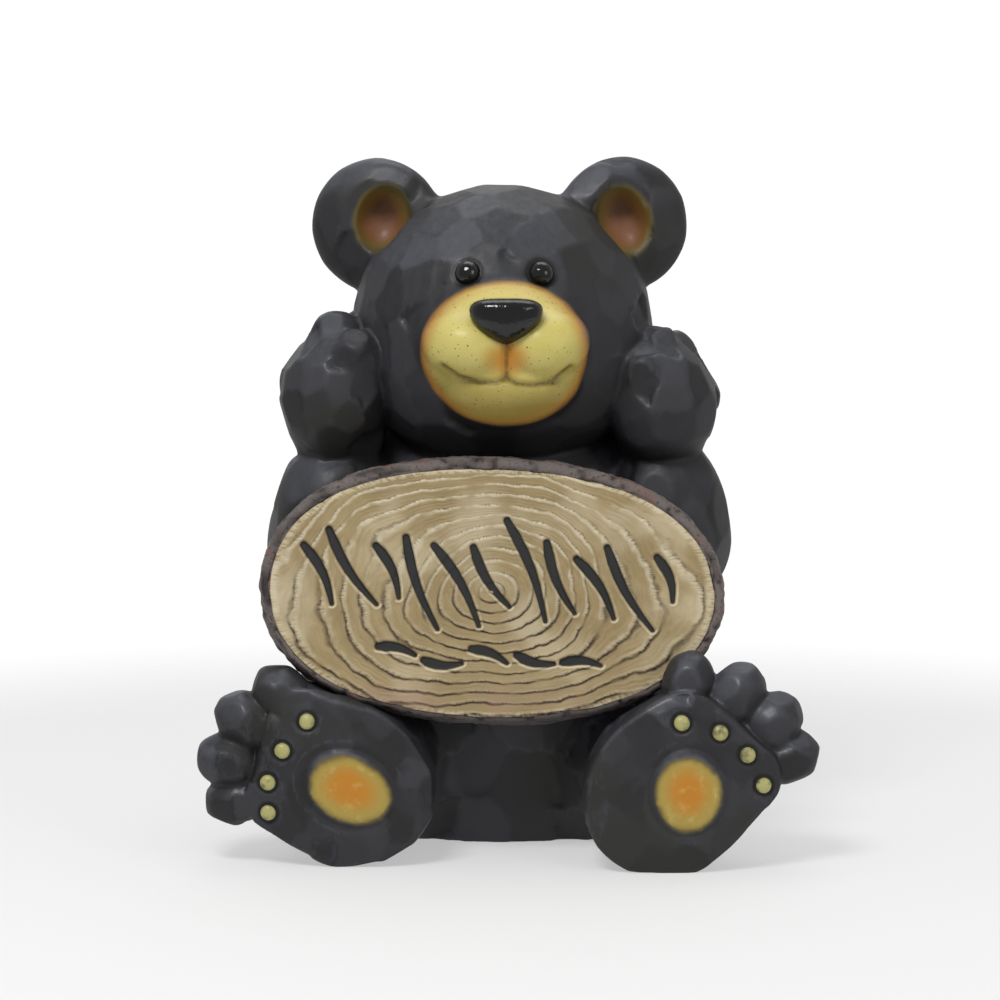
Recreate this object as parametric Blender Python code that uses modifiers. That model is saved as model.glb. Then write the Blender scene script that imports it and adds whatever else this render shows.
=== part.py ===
"""A seated bear figure with its paws on its cheeks, and the oval log-slice sign bonded against its belly.

The bear is one cast solid, cut flat below. Its rounded masses are ellipsoids and tapered limbs that melt into
each other in a volume, and shallow facets, as a carver's knife leaves them, run over all of its coat. The sign
is a turned slab with growth rings, pressed into an uneven oval, with a row of gouged strokes on its face. It
sits in a seat that its own shape, grown by a small clearance, cuts into the belly and the arms.

Metres, +Z up, the bear faces -Y. The origin is on the ground, under the middle of the seat.
"""

import math
from dataclasses import dataclass

import bmesh
import bpy
from mathutils import Euler, Matrix, Vector

# The figure. Its masses below are written in hundredths of this height.
FIGURE_HEIGHT = 0.45
PERCENT = FIGURE_HEIGHT / 100

# The carver's facets on the coat
FACET_SIZE = 0.034
FACET_ROUNDNESS = 0.085

# The sign: an oval slab with bark round its rim
SIGN_WIDTH = 0.2855
SIGN_HEIGHT = 0.160
SIGN_THICKNESS = 0.030
SIGN_LEAN = math.radians(14.5)
SIGN_ROLL = math.radians(1.5)
SIGN_SQUARENESS = 0.036
SIGN_UNEVENNESS = 0.010
BARK_THICKNESS = 0.0066
BARK_TOP_SHARE = 0.45
BARK_ROUGHNESS = 0.0040
BARK_LUMP = 0.011
RING_COUNT = 7
RING_DEPTH = 0.0018
SEAT_CLEARANCE = 0.0006

# The strokes gouged in the sign's face, in two rows
STROKE_WIDTH = 0.0064
STROKE_DEPTH = 0.0024
LONG_STROKES = 11
SHORT_STROKES = 5

# Grooves and beads on the soles and the face
PAD_GROOVE = 0.0036
DOT_SIZE = 0.0125
MOUTH_GROOVE = 0.0020

# How finely the solids are faceted
VOXEL = 0.0024
BEAR_TRIANGLES = 6000
SIGN_SIDES = 56
STROKE_STEPS = 4


@dataclass(frozen=True)
class Mass:
    """An ellipsoid: its middle, its half sizes and its turn in degrees about X, Y and Z."""

    at: tuple
    half: tuple
    turn: tuple = (0, 0, 0)


@dataclass(frozen=True)
class Limb:
    """A round limb from one point to another, with the radius at each end."""

    start: tuple
    end: tuple
    start_radius: float
    end_radius: float


# Masses in hundredths of the figure's height. Left and right are as the viewer sees them.
TORSO = [
    Mass((0, 0.5, 30), (24, 25, 31)),
    Mass((0, 2, 7), (25, 21, 19)),
    Mass((0, 3, 50), (22, 17, 15)),
]
TAIL = [Mass((0, 22, 8), (5, 6, 5))]
LEGS = [
    Limb((-13, -2, 11), (-21, -22, 12.5), 11.5, 10),
    Limb((13, -2, 11), (21, -24, 12.5), 11.5, 10),
]
FEET = [
    Mass((-22.9, -30.0, 12.3), (13.4, 5.6, 11.2), (0, 34, 0)),
    Mass((23.2, -32.6, 12.0), (13.6, 5.6, 11.6), (0, -48, 0)),
]
HEELS = [
    Limb((-22.5, -20, 9.5), (-22.8, -29, 7.4), 10, 7.4),
    Limb((22.0, -20, 9.5), (22.6, -32.4, 7.0), 10, 7.6),
    Limb((-24, -29, 6.8), (-34, -29.5, 10.8), 6.8, 5.6),
    Limb((24, -32.4, 6.8), (34, -32, 14.0), 7.2, 5.8),
]
TOES = [
    Limb((-27, -29, 18), (-32.6, -30, 24.8), 4.2, 3.6),
    Limb((-30, -29.5, 16), (-37.8, -30, 20.8), 4.5, 4.0),
    Limb((-31, -29.5, 13), (-40.4, -30, 14.9), 4.3, 3.9),
    Limb((-30, -29, 10), (-39.6, -30, 8.9), 4.0, 3.4),
    Limb((24, -31, 19), (25.9, -32, 27.0), 4.2, 3.6),
    Limb((27, -31.5, 18), (32.9, -32, 25.2), 4.4, 4.0),
    Limb((29, -31.5, 16), (38.0, -32, 21.2), 4.4, 4.0),
    Limb((30, -31, 13), (40.4, -32, 15.9), 4.2, 3.9),
]
ARMS = [
    Limb((-17, 5, 52), (-25.0, -6, 40), 11, 9.3),
    Limb((-24.8, -8, 40), (-24.0, -11, 57), 9.0, 7.8),
    Limb((17, 5, 52), (22.8, -6, 43), 11, 9.6),
    Limb((22.6, -8, 42), (22.0, -11, 57), 9.0, 7.9),
]
PAWS = [
    Mass((-25.2, -12.0, 66.9), (7.6, 7.6, 10.0), (0, 14, 0)),
    Mass((22.9, -12.0, 65.8), (7.5, 7.6, 10.0), (0, -14, 0)),
]
FINGERS = [
    Limb((-23.5, -14.5, 65.5), (-19.3, -16.2, 72.0), 4.0, 3.2),
    Limb((-25.0, -11.0, 68.0), (-23.6, -12.2, 74.9), 4.2, 3.2),
    Limb((-27.0, -7.0, 67.0), (-26.2, -7.4, 73.2), 4.0, 3.3),
    Limb((21.6, -14.5, 64.5), (18.8, -16.2, 70.8), 4.0, 3.2),
    Limb((22.9, -11.0, 66.5), (21.8, -12.2, 72.6), 4.0, 3.1),
    Limb((25.0, -7.0, 66.0), (24.4, -7.4, 72.2), 3.8, 3.1),
]
HEAD = [
    Mass((-0.7, -2.5, 77.4), (21.6, 20.5, 18.8)),
    Mass((-0.7, -5.0, 70.0), (21.5, 18.0, 15.5)),
]
EARS = [
    Mass((-19.4, 0.5, 90.1), (10.0, 4.6, 10.0), (0, 0, -14)),
    Mass((17.3, 0.5, 90.3), (10.0, 4.6, 10.0), (0, 0, 14)),
]
EAR_HOLLOWS = [
    Mass((-18.4, -5.2, 91.2), (4.6, 4.4, 5.6), (0, 14, 0)),
    Mass((17.4, -5.2, 91.0), (4.6, 4.4, 5.8), (0, -14, 0)),
]
MUZZLE = [Mass((-0.6, -21.5, 72.4), (12.6, 11.0, 10.6))]
NOSE = [
    Mass((-0.1, -30.6, 78.8), (4.7, 3.6, 2.0)),
    Mass((-0.1, -31.2, 77.0), (2.9, 3.2, 2.4)),
]
EYES = [
    Mass((-5.6, -20.9, 83.7), (1.9, 2.0, 2.0)),
    Mass((4.9, -20.9, 83.6), (1.9, 2.0, 2.0)),
]

# The oval grooves round the pads of the soles: middle across and up, half width, half height and turn
PADS = [
    (-22.3, 11.6, 7.1, 5.6, 25),
    (25.4, 11.7, 5.6, 6.4, 0),
]

# Small round beads on the soles, under the toes
DOTS = [
    (-28.3, 21.1),
    (-31.8, 16.9),
    (-33.9, 12.3),
    (-33.9, 7.9),
    (24.5, 21.5),
    (29.9, 20.1),
    (33.8, 16.9),
    (36.1, 12.5),
]

# The mouth, across and up: the line down from the nose, then the smile to its left and to its right
SMILE_LEFT = [(-0.1, 75.4), (-0.3, 69.6), (-1.8, 68.5), (-4.5, 68.4), (-7.8, 69.7), (-9.4, 71.2)]
SMILE_RIGHT = [(-0.3, 69.6), (1.2, 68.5), (3.8, 68.4), (6.2, 68.7), (9.1, 70.8)]

# Marks on the soles and on the face lie forward of these depths, which keeps them off what is behind
SOLES_FRONT = -32.5
FACE_FRONT = -24.0

# The middle of the sign's back, in hundredths of the height: it lies a little inside the belly
SIGN_SEAT = (-2.3, -22.4, 37.0)

# How far masses melt into each other where they meet, in hundredths of the height
SOFT = 9.0
ROUNDED = 4.5
CREASED = 1.6


class Field:
    """A number at every point of space, held by a socket of a geometry node tree."""

    def __init__(self, graph, socket):
        self.graph = graph
        self.socket = socket

    def math(self, operation, *others):
        return Field(self.graph, self.graph.node("ShaderNodeMath", [self, *others], operation=operation))

    def __add__(self, other):
        return self.math("ADD", other)

    def __sub__(self, other):
        return self.math("SUBTRACT", other)

    def __mul__(self, other):
        return self.math("MULTIPLY", other)

    def __truediv__(self, other):
        return self.math("DIVIDE", other)

    def __neg__(self):
        return self.math("MULTIPLY", -1.0)

    def clamped(self):
        return self.math("MAXIMUM", 0.0).math("MINIMUM", 1.0)

    def beside(self, other):
        """The distance to where both of these distances are nothing, as along the edge between two shapes."""
        return (self * self + other * other).math("SQRT")

    def joined(self, other, melt):
        """The union of two shapes, which melt into each other over this distance."""
        return self.math("SMOOTH_MIN", other, melt)

    def cut_by(self, other, melt):
        """This shape less the other one, with the edge rounded over this distance."""
        return self.math("SMOOTH_MAX", -other, melt)


class Graph:
    """A geometry node tree that is written as arithmetic on fields."""

    def __init__(self, name):
        self.tree = bpy.data.node_groups.new(name, "GeometryNodeTree")
        self.tree.interface.new_socket("Geometry", in_out="INPUT", socket_type="NodeSocketGeometry")
        self.tree.interface.new_socket("Geometry", in_out="OUTPUT", socket_type="NodeSocketGeometry")
        self.given = self.tree.nodes.new("NodeGroupInput").outputs[0]
        self.position = self.node("GeometryNodeInputPosition", [])

    def node(self, kind, inputs, output=0, **settings):
        """Adds a node and returns one of its outputs. An input of None keeps its default."""
        made = self.tree.nodes.new(kind)
        for name, value in settings.items():
            setattr(made, name, value)
        for socket, value in zip(made.inputs, inputs):
            if isinstance(value, Field):
                value = value.socket
            if isinstance(value, bpy.types.NodeSocket):
                self.tree.links.new(value, socket)
            elif value is not None:
                socket.default_value = value
        return made.outputs[output]

    def vector(self, operation, *inputs, output=0):
        return self.node("ShaderNodeVectorMath", inputs, output=output, operation=operation)

    def number(self, operation, *inputs):
        """A vector operation whose result is a number, such as LENGTH or DOT_PRODUCT."""
        return Field(self, self.vector(operation, *inputs, output="Value"))

    def axis(self, index):
        """The X, Y or Z coordinate of every point."""
        return Field(self, self.node("ShaderNodeSeparateXYZ", [self.position], output=index))

    def finish(self, geometry):
        end = self.tree.nodes.new("NodeGroupOutput")
        self.tree.links.new(geometry, end.inputs[0])
        return self.tree


def scaled(values):
    """Hundredths of the height, as metres."""
    return Vector(values) * PERCENT


def ellipsoid(graph, mass):
    """The distance to an ellipsoid's surface, negative inside it."""
    half = scaled(mass.half)
    away = graph.vector("SUBTRACT", graph.position, scaled(mass.at))
    if any(mass.turn):
        turn = Euler([math.radians(angle) for angle in mass.turn])
        away = graph.node(
            "ShaderNodeVectorRotate", [away, None, None, None, turn], rotation_type="EULER_XYZ", invert=True
        )
    near = graph.number("LENGTH", graph.vector("DIVIDE", away, half))
    steep = graph.number("LENGTH", graph.vector("DIVIDE", away, Vector([side * side for side in half])))
    return (near - 1.0) * (near / steep).math("MAXIMUM", min(half))


def along_segment(graph, point, start, end):
    """The distance of a point from a segment, and the share of the way along it."""
    axis = end - start
    away = graph.vector("SUBTRACT", point, start)
    share = (graph.number("DOT_PRODUCT", away, axis) / axis.length_squared).clamped()
    along = graph.node("ShaderNodeVectorMath", [axis, None, None, share], operation="SCALE")
    return graph.number("LENGTH", graph.vector("SUBTRACT", away, along)), share


def tapered(graph, limb):
    """The distance to a limb's surface, negative inside it."""
    distance, share = along_segment(graph, graph.position, scaled(limb.start), scaled(limb.end))
    growth = (limb.end_radius - limb.start_radius) * PERCENT
    return distance - (share * growth + limb.start_radius * PERCENT)


def blended(graph, shapes, melt):
    """All of these masses and limbs as one shape."""
    whole = None
    for shape in shapes:
        field = ellipsoid(graph, shape) if isinstance(shape, Mass) else tapered(graph, shape)
        whole = whole.joined(field, melt * PERCENT) if whole else field
    return whole


def facets(graph):
    """How far the carver's flat cuts lie under the rounded form: least at the ridges between them."""
    cell = graph.node(
        "ShaderNodeTexVoronoi", [graph.position, None, 1 / FACET_SIZE], output="Distance", feature="F1"
    )
    distance = Field(graph, cell)
    middle_share = 0.33
    return (distance * distance - middle_share) * (FACET_SIZE**2 / (2 * FACET_ROUNDNESS))


def from_front(graph, front):
    """Every point as the front view shows it, with a depth only where it lies behind this front."""
    behind = (graph.axis(1) - front * PERCENT).math("MAXIMUM", 0.0)
    depth = graph.node("ShaderNodeCombineXYZ", [0.0, behind, 0.0])
    return graph.vector("ADD", graph.vector("MULTIPLY", graph.position, (1.0, 0.0, 1.0)), depth)


def pad_edge(graph, pad):
    """The distance from the oval round one pad, as the front view shows it."""
    across, up, half_width, half_height, turn = pad
    away = graph.vector("SUBTRACT", from_front(graph, SOLES_FRONT), scaled((across, 0, up)))
    turned = graph.node(
        "ShaderNodeVectorRotate", [away, None, (0.0, 1.0, 0.0), math.radians(turn)],
        rotation_type="AXIS_ANGLE", invert=True,
    )
    size = scaled((half_width, min(half_width, half_height), half_height))
    return (graph.number("LENGTH", graph.vector("DIVIDE", turned, size)) - 1.0) * min(size)


def dot(graph, place):
    """The distance from the middle of one bead, as the front view shows it."""
    across, up = place
    return graph.number("DISTANCE", from_front(graph, SOLES_FRONT), scaled((across, 0, up)))


def line(graph, places):
    """The distance from a bent line, as the front view shows it."""
    points = [scaled((across, 0, up)) for across, up in places]
    seen = from_front(graph, FACE_FRONT)
    nearest = None
    for start, end in zip(points, points[1:]):
        distance, _ = along_segment(graph, seen, start, end)
        nearest = nearest.math("MINIMUM", distance) if nearest else distance
    return nearest


def grooved(surface, place, radius):
    """This surface with a round groove along a line that lies on it."""
    return surface.cut_by(place.beside(surface) - radius, radius / 2)


def beaded(surface, place, radius):
    """This surface with a round bead where a point lies on it."""
    return surface.joined(place.beside(surface) - radius, radius / 4)


def muzzle_field(graph):
    return blended(graph, MUZZLE, ROUNDED)


def bear_field(graph):
    """The whole figure: its coat with facets, then the smooth parts of the face and the marks."""
    body = blended(graph, TORSO + LEGS + TAIL, SOFT)
    feet = blended(graph, FEET + HEELS, ROUNDED)
    for toe in TOES:
        feet = feet.joined(tapered(graph, toe), CREASED * PERCENT)
    arms = blended(graph, ARMS, ROUNDED)
    paws = blended(graph, PAWS, CREASED)
    for finger in FINGERS:
        paws = paws.joined(tapered(graph, finger), CREASED * PERCENT)
    head = blended(graph, HEAD, SOFT).joined(blended(graph, EARS, CREASED), ROUNDED / 2 * PERCENT)
    coat = body.joined(feet, ROUNDED * PERCENT).joined(arms, ROUNDED * PERCENT)
    coat = coat.joined(paws, ROUNDED / 2 * PERCENT).joined(head, CREASED * PERCENT)
    coat = (coat - facets(graph)).cut_by(blended(graph, EAR_HOLLOWS, CREASED), CREASED * PERCENT)
    for pad in PADS:
        coat = grooved(coat, pad_edge(graph, pad), PAD_GROOVE)
    for place in DOTS:
        coat = beaded(coat, dot(graph, place), DOT_SIZE / 2)
    whole = coat.joined(muzzle_field(graph), ROUNDED * PERCENT)
    for smile in (SMILE_LEFT, SMILE_RIGHT):
        whole = grooved(whole, line(graph, smile), MOUTH_GROOVE)
    whole = whole.joined(blended(graph, NOSE, CREASED), CREASED / 2 * PERCENT)
    return whole.joined(blended(graph, EYES, CREASED), CREASED / 4 * PERCENT)


def plain_material(name, colour, roughness):
    """A painted or bare surface, none of which is metal."""
    material = bpy.data.materials.new(name)
    material.use_nodes = True
    shader = material.node_tree.nodes["Principled BSDF"]
    shader.inputs["Base Color"].default_value = (*colour, 1.0)
    shader.inputs["Roughness"].default_value = roughness
    shader.inputs["Metallic"].default_value = 0.0
    return material


def painted(graph, surface, material, where):
    """This surface with another paint where a field is below zero."""
    inside = where.math("LESS_THAN", 0.0) if where else None
    return graph.node("GeometryNodeSetMaterial", [surface, inside, material])


def coat_paints(graph, surface):
    """The paints of the figure, each over its own part of the surface."""
    coat = plain_material("charcoal coat", (0.028, 0.028, 0.031), 0.45)
    yellow = plain_material("yellow muzzle and pads", (0.62, 0.44, 0.08), 0.42)
    russet = plain_material("russet ear hollows", (0.22, 0.09, 0.035), 0.5)
    black = plain_material("gloss black nose and eyes", (0.008, 0.008, 0.008), 0.1)
    surface = painted(graph, surface, coat, None)
    paint_edge = CREASED / 2 * PERCENT
    surface = painted(graph, surface, yellow, muzzle_field(graph) - paint_edge)
    for pad in PADS:
        surface = painted(graph, surface, yellow, pad_edge(graph, pad) + PAD_GROOVE)
    for place in DOTS:
        surface = painted(graph, surface, yellow, dot(graph, place) - DOT_SIZE / 2)
    for hollow in EAR_HOLLOWS:
        surface = painted(graph, surface, russet, ellipsoid(graph, hollow) - paint_edge / 2)
    for shape in NOSE + EYES:
        surface = painted(graph, surface, black, ellipsoid(graph, shape) - paint_edge / 4)
    return surface


def new_object(name, mesh, collection):
    """An object in a collection, with this mesh."""
    made = bpy.data.objects.new(name, mesh)
    collection.objects.link(made)
    return made


def add_nodes(target, graph, geometry, name):
    """Gives an object the geometry nodes that this graph holds."""
    modifier = target.modifiers.new(name, "NODES")
    modifier.node_group = graph.finish(geometry)


def evaluated_mesh(target):
    """The object's mesh with all of its modifiers applied."""
    return bpy.data.meshes.new_from_object(target.evaluated_get(bpy.context.evaluated_depsgraph_get()))


def decimated(target, triangles):
    """Lets a modifier lower an object's triangle count to about this many."""
    count = sum(len(face.vertices) - 2 for face in target.data.polygons)
    modifier = target.modifiers.new("Facets", "DECIMATE")
    modifier.ratio = min(1.0, triangles / count)


def cut(target, cutter, painted_cut=False):
    """Takes the cutter's shape out of an object, and may leave the cutter's paint on the cut."""
    modifier = target.modifiers.new(cutter.name, "BOOLEAN")
    modifier.operation = "DIFFERENCE"
    modifier.object = cutter
    modifier.material_mode = "TRANSFER" if painted_cut else "INDEX"
    cutter.hide_render = True
    cutter.display_type = "WIRE"


def make_bear(collection):
    """The figure, down to a little below the ground."""
    graph = Graph("bear form")
    low, high = scaled((-47, -43, -3)), scaled((47, 32, 102))
    counts = [math.ceil(side / VOXEL) for side in high - low]
    volume = graph.node("GeometryNodeVolumeCube", [-bear_field(graph), -1.0, low, high, *counts])
    surface = graph.node("GeometryNodeVolumeToMesh", [volume, None, None, 0.0, 0.0])
    smooth = graph.node("GeometryNodeSetShadeSmooth", [coat_paints(graph, surface)])
    form = new_object("bear form", bpy.data.meshes.new("bear form"), collection)
    add_nodes(form, graph, smooth, "Form")
    bear = new_object("bear", evaluated_mesh(form), collection)
    bpy.data.objects.remove(form)
    decimated(bear, BEAR_TRIANGLES)
    return bear


def sign_profile():
    """Half of the slab's section, from the middle of its face over the rim to the middle of its back."""
    radius = SIGN_WIDTH / 2
    points = [(0.0, 0.0)]
    for ring in range(1, RING_COUNT + 1):
        points.append(((ring - 0.18) / RING_COUNT * radius, 0.0))
        points.append((ring / RING_COUNT * radius, -RING_DEPTH))
    rim_steps = 5
    for step in range(rim_steps + 1):
        share = step / rim_steps
        bulge = BARK_THICKNESS * (0.55 + 0.45 * math.sin(math.pi * share))
        points.append((radius + bulge, -SIGN_THICKNESS * share))
    points.append((0.0, -SIGN_THICKNESS))
    return points


def reach_of(graph):
    """How far every point of the turned slab lies from its middle, and never quite nothing."""
    flat = graph.vector("MULTIPLY", graph.position, (1.0, 1.0, 0.0))
    return graph.number("LENGTH", flat).math("MAXIMUM", SEAT_CLEARANCE)


def pressed_oval(graph):
    """Every point of the turned slab, pressed into the uneven oval, with thick and lumpy bark above."""
    radius = SIGN_WIDTH / 2
    across, along, reach = graph.axis(0), graph.axis(1), reach_of(graph)
    angle = along.math("ARCTAN2", across)
    waves = (angle * 3.0 + 1.0).math("SINE") + (angle * 5.0 + 2.2).math("SINE") * 0.6
    corners = (angle * 2.0).math("SINE")
    face_share = reach.math("MINIMUM", radius) / reach
    flatten = face_share * (SIGN_HEIGHT / SIGN_WIDTH - 1.0) + 1.0
    bark = (reach - radius).math("MAXIMUM", 0.0)
    thicker = bark * angle.math("SINE") * BARK_TOP_SHARE / reach
    noise = graph.node("ShaderNodeTexNoise", [graph.position, None, 1 / BARK_LUMP, 1.0])
    lumps = (Field(graph, noise) - 0.5) * (bark / BARK_THICKNESS).clamped() * BARK_ROUGHNESS / reach
    grow = corners * corners * SIGN_SQUARENESS + waves * (SIGN_UNEVENNESS / 2) + thicker + lumps + 1.0
    return graph.node("ShaderNodeCombineXYZ", [across * grow, along * flatten * grow, graph.axis(2)])


def sign_matrix():
    """Places the slab: its face leans back, its grain rolls a little, and its back is in the belly."""
    turn = Matrix.Rotation(math.pi / 2 - SIGN_LEAN, 4, "X") @ Matrix.Rotation(-SIGN_ROLL, 4, "Z")
    middle_of_face = scaled(SIGN_SEAT) + turn.to_3x3() @ Vector((0, 0, SIGN_THICKNESS))
    return Matrix.Translation(middle_of_face) @ turn


def make_blank(name, collection):
    """The slab before its strokes are cut."""
    outline = bmesh.new()
    points = [outline.verts.new((reach, 0.0, height)) for reach, height in sign_profile()]
    for start, end in zip(points, points[1:]):
        outline.edges.new((start, end))
    mesh = bpy.data.meshes.new(name)
    outline.to_mesh(mesh)
    outline.free()
    slab = new_object(name, mesh, collection)
    turned = slab.modifiers.new("Turned", "SCREW")
    turned.steps = turned.render_steps = SIGN_SIDES
    turned.use_merge_vertices = True
    turned.merge_threshold = 0.00001
    graph = Graph(name + " oval")
    edge_of_wood = SIGN_WIDTH / 2 + BARK_THICKNESS / 4
    surface = painted(graph, graph.given, plain_material("bark", (0.06, 0.038, 0.032), 0.7), None)
    wood = plain_material("cut wood", (0.50, 0.36, 0.20), 0.6)
    surface = painted(graph, surface, wood, reach_of(graph) - edge_of_wood)
    moved = graph.node("GeometryNodeSetPosition", [surface, None, pressed_oval(graph)])
    add_nodes(slab, graph, graph.node("GeometryNodeSetShadeSmooth", [moved]), "Oval")
    slab.matrix_world = sign_matrix()
    return slab


def stroke_rows():
    """Each stroke's middle, length, lean and bow. Places and lengths are shares of the sign's width."""
    rows = []
    for index in range(LONG_STROKES):
        share = (index + 0.5) / LONG_STROKES - 0.5
        length = 0.14 + 0.05 * math.sin(index * 2.3) + 0.06 * math.cos(share * math.pi)
        lean = math.radians(27 + 7 * math.sin(index * 1.7))
        rows.append((share * 0.86, 0.03 + 0.02 * math.sin(index * 1.3), length, lean, (-1) ** index * 0.012))
    for index in range(SHORT_STROKES):
        share = (index + 0.5) / SHORT_STROKES - 0.5
        lean = math.radians(78 + 10 * math.sin(index * 2.1))
        rows.append((share * 0.52, -0.15 + 0.012 * math.cos(index * 2.6), 0.085, lean, (-1) ** index * 0.008))
    return rows


def make_strokes(collection):
    """The gouges as one cutter: bent tubes, pressed flat, that taper towards one end."""
    curve = bpy.data.curves.new("strokes", "CURVE")
    curve.dimensions = "3D"
    curve.bevel_depth = STROKE_WIDTH / 2
    curve.bevel_resolution = 1
    curve.use_fill_caps = True
    for across, up, length, lean, bow in stroke_rows():
        spline = curve.splines.new("POLY")
        spline.points.add(STROKE_STEPS)
        for step, point in enumerate(spline.points):
            share = step / STROKE_STEPS
            along, aside = (share - 0.5) * length, bow * math.sin(math.pi * share)
            right = across + along * math.sin(lean) + aside * math.cos(lean)
            high = up - along * math.cos(lean) + aside * math.sin(lean)
            point.co = (right * SIGN_WIDTH, high * SIGN_WIDTH, 0.0, 1.0)
            point.radius = 0.5 + 0.6 * math.sin(math.pi * (0.25 + 0.6 * share))
    tubes = new_object("stroke tubes", curve, collection)
    mesh = evaluated_mesh(tubes)
    bpy.data.objects.remove(tubes)
    welded = bmesh.new()
    welded.from_mesh(mesh)
    bmesh.ops.remove_doubles(welded, verts=welded.verts, dist=0.00001)
    bmesh.ops.scale(welded, verts=welded.verts, vec=(1.0, 1.0, 2 * STROKE_DEPTH / STROKE_WIDTH))
    welded.to_mesh(mesh)
    welded.free()
    mesh.materials.append(plain_material("charcoal strokes", (0.03, 0.028, 0.026), 0.5))
    strokes = new_object("strokes", mesh, collection)
    strokes.matrix_world = sign_matrix()
    return strokes


def make_seat(collection):
    """The slab grown by the clearance all round, which is what the bear is cut by."""
    seat = make_blank("sign seat", collection)
    grown = seat.modifiers.new("Clearance", "DISPLACE")
    grown.strength = SEAT_CLEARANCE
    grown.mid_level = 0.0
    return seat


def make_ground(collection):
    """A block whose top is the ground, wider and deeper than the figure reaches."""
    bpy.ops.mesh.primitive_cube_add(size=2 * FIGURE_HEIGHT, location=(0, 0, -FIGURE_HEIGHT))
    ground = bpy.context.object
    ground.name = "ground"
    for holder in list(ground.users_collection):
        holder.objects.unlink(ground)
    collection.objects.link(ground)
    return ground


def main():
    """Builds the bear and its sign."""
    for old in list(bpy.data.objects):
        bpy.data.objects.remove(old)
    parts = bpy.data.collections.new("chainsaw carved bear")
    cutters = bpy.data.collections.new("cutters")
    for collection in (parts, cutters):
        bpy.context.scene.collection.children.link(collection)
    bear = make_bear(parts)
    cut(bear, make_ground(cutters))
    cut(bear, make_seat(cutters))
    sign = make_blank("sign", parts)
    cut(sign, make_strokes(cutters), painted_cut=True)


main()
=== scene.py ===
"""The looks of the seated bear and its log-slice sign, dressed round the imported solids.

The bear's coat is one mesh. A geometry node tree melts its masses together, cuts the carver's flat facets
into it and sinks the marks of the face and the soles. It leaves attributes on the mesh, which the paint
follows. The nose, the eyes and the beads under the toes are small pieces of their own. The sign is a slab
whose face is a relief of growth rings and gouged strokes inside a ring of bark.

Metres, +Z up, the bear faces -Y. Masses are written in hundredths of the figure's height.
"""

import logging
import math
from collections.abc import Mapping, Sequence
from dataclasses import dataclass
from enum import Enum

import bmesh
import bpy
import numpy as np
from mathutils import Euler, Matrix, Vector, noise
from mathutils.bvhtree import BVHTree


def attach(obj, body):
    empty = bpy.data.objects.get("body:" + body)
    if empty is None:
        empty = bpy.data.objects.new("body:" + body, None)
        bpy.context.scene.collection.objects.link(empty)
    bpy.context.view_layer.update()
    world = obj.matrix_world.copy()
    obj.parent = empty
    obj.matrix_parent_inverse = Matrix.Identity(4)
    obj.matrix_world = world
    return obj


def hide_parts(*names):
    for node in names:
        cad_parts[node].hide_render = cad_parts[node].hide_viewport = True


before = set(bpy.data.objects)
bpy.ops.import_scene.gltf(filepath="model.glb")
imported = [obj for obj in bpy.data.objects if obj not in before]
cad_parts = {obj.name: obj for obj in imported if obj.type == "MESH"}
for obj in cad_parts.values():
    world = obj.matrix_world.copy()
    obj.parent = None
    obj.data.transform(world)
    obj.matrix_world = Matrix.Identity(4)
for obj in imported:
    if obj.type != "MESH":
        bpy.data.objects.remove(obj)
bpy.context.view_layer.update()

LOG = logging.getLogger("bear")
BODY = "root"
FIGURE_HEIGHT = 0.45
PERCENT = FIGURE_HEIGHT / 100
MILLIMETRE = 0.001

Pair = tuple[float, float]
Triple = tuple[float, float, float]
Colour = tuple[float, float, float, float]
Inputs = Mapping | Sequence
Grids = tuple[np.ndarray, np.ndarray]


def shade(red: float, green: float, blue: float) -> Colour:
    """Turns a paint's screen colour into the linear colour that a shader reads.

    Args:
        red: Red, from 0 to 255.
        green: Green, from 0 to 255.
        blue: Blue, from 0 to 255.

    Returns:
        The linear colour with full alpha.
    """
    def linear(value: float) -> float:
        share = value / 255
        return share / 12.92 if share < 0.04045 else ((share + 0.055) / 1.055) ** 2.4

    return (linear(red), linear(green), linear(blue), 1.0)


def percent(values: Sequence[float]) -> Vector:
    """Gives hundredths of the figure's height in metres."""
    return Vector(values) * PERCENT


class Wire:
    """One output socket of a node tree."""

    def __init__(self, tree: "Tree", socket: bpy.types.NodeSocket) -> None:
        """Keeps the socket and the tree that it belongs to."""
        self.tree = tree
        self.socket = socket


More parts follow.
